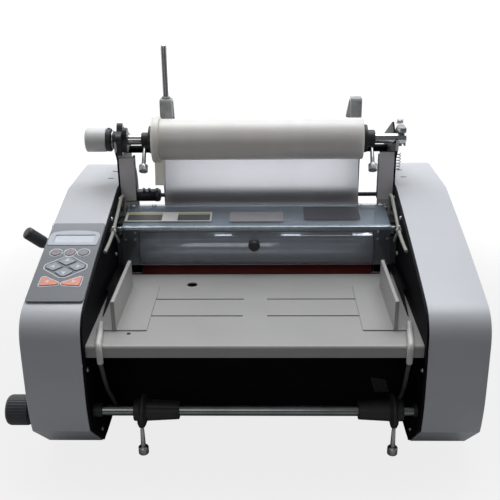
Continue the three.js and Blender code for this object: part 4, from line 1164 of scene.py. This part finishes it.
# ---- Second film shaft in front ----
def add_bottom_shaft():
    piece("bottom_shaft_turned", bar((-307, 224.5), BOTTOM_Y, BOTTOM_Z, BOTTOM_R), DARK_CHROME,
          "second_shaft",
          ["bottom_shaft"])
    left = [(-165.5, 7.7), (-165.5, 14.2), (-164.7, 15), (-157.7, 15), (-157.1, 16), (-156, 21),
            (-154.4, 22.7),
            (-152.8, 23), (-151.2, 22.7), (-150, 21), (-148.2, 15.6), (-147.4, 14.8), (-104.3, 12.6),
            (-103.5, 11.8),
            (-103.5, 7.7)]
    right = [(141, 7.7), (141, 11.8), (141.8, 12.6), (183, 14.8), (183.8, 15.6), (185.5, 21), (186.8, 22.7),
             (188.5, 23), (190.2, 22.7), (191.5, 21), (193, 16), (193.7, 15), (201.2, 15), (202, 14.2),
             (202, 7.7)]
    for name, profile, screw_x, cone in (("left", left, -157, (-147, -104)),
                                         ("right", right, 191.5, (142, 182.5))):
        def ribs(angle, x, cone=cone):
            return 1 - 0.12 * max(0.0, math.cos(8 * angle)) if cone[0] < x < cone[1] else 1

        piece(f"{name}_cone_hub", turned(profile, (0, BOTTOM_Y, BOTTOM_Z), sides=96, wave=ribs), BLACK_HUB,
              "second_shaft", [f"{name}_cone_chuck"])
        ear = turned([(0, 0), (0, 7), (14, 6), (19, 4.4), (20, 0)], (screw_x, BOTTOM_Y, BOTTOM_Z - 8),
                     (0, 0, -1), 32)
        piece(f"{name}_cone_ear", ear, BLACK_HUB, "second_shaft")
        piece(f"{name}_cone_screw", thumb_screw(screw_x, BOTTOM_Y, 58, 47), SCREW, "second_shaft")
    knob = [(-340.5, 0), (-340.5, 14.5), (-339.9, 17), (-338.3, 19.2), (-336, 20.5), (-333.5, 21),
            (-311.5, 21),
            (-310, 20.4), (-309.5, 19.4), (-309.5, 14.4), (-308.9, 14), (-307.3, 14), (-307.3, 0)]

    def grip_ribs(angle, x):
        return 1 - 0.03 * (0.5 + 0.5 * math.cos(32 * angle)) if -334 < x < -311 else 1

    piece("bottom_knob_ribbed", turned(knob, (0, BOTTOM_Y, BOTTOM_Z), sides=192, wave=grip_ribs),
          KNOB_DARK, "second_shaft",
          ["bottom_knob"])


# ---- Heater leads and table sleeves ----
def add_cord(name, route, radius, material, node, slot, **facts):
    line = curve_points(route, 60)
    cord = piece(name, tube(line, radius, 16), material, "frame", [node] if node else ())


def add_cables():
    for name, side in SIDES.items():
        x = side * LEAD_X
        lead = [(x, 240.3, 266.2), (x, 243.5, 272.6), (x, 247, 283), (x, 243, 296), (x, 222, 299.5),
                (x, 190, 289),
                (x, 160, 279), (x, 142, 273), (x, 110, 268), (side * 218, 84, 262)]
        add_cord(f"{name}_lead_cord", lead, 2.6, CABLE, f"{name}_heater_lead", "cable_sheath",
                 stiffness="medium",
                 lay="taut")
        lower = [(side * 211, -8, 193.4), (side * 207, -36, 193.4), (side * 204, -62, 193.6),
                 (side * 202.5, -70.4, 189.8), (side * 202, -71.4, 180), (side * 202, -70, 167),
                 (side * 202.5, -60, 149),
                 (side * 204, -45, 125), (side * 206.5, -20, 94), (side * 210, 20, 54.5),
                 (side * 214, 54.2, 19)]
        add_cord(f"{name}_table_lead", lower, 2.9, LEAD, f"{name}_table_sleeve", "white_sleeve",
                 stiffness="medium",
                 lay="hanging")
        add_cord(f"{name}_sleeve_hose", lower[:6], 4.1, SLEEVE, None, "white_sleeve", stiffness="stiff",
                 lay="taut")
        tie = turned([(-2.2, 2.4), (-2.2, 4.2), (2.2, 4.2), (2.2, 2.4)], (x, 142, 273), (0, 1, 0.2), 24)
        knot = block((x - 1.6, x + 1.6), (139.6, 144.4), (276.4, 280.4))
        piece(f"{name}_lead_tie", joined(tie, knot), TIE, "frame", bevel=0.5)
        branch = [(x, 143, 271), (side * 215, 158, 258), (side * 215.5, 176, 243)]
        add_cord(f"{name}_lead_branch", branch, 2.1, CABLE, None, "cable_sheath", stiffness="medium",
                 lay="taut")


make_camera()
make_studio()
for side_name, side_sign in SIDES.items():
    add_housing(side_name, side_sign)
add_frame()
add_feet()
add_rear_fittings()
add_control_panel()
add_table()
add_rollers()
add_pressure_lever()
add_shield()
add_supply()
add_chucks()
add_brake()
add_latch()
add_film()
add_pull_arms()
add_blower()
add_bottom_shaft()
add_cables()
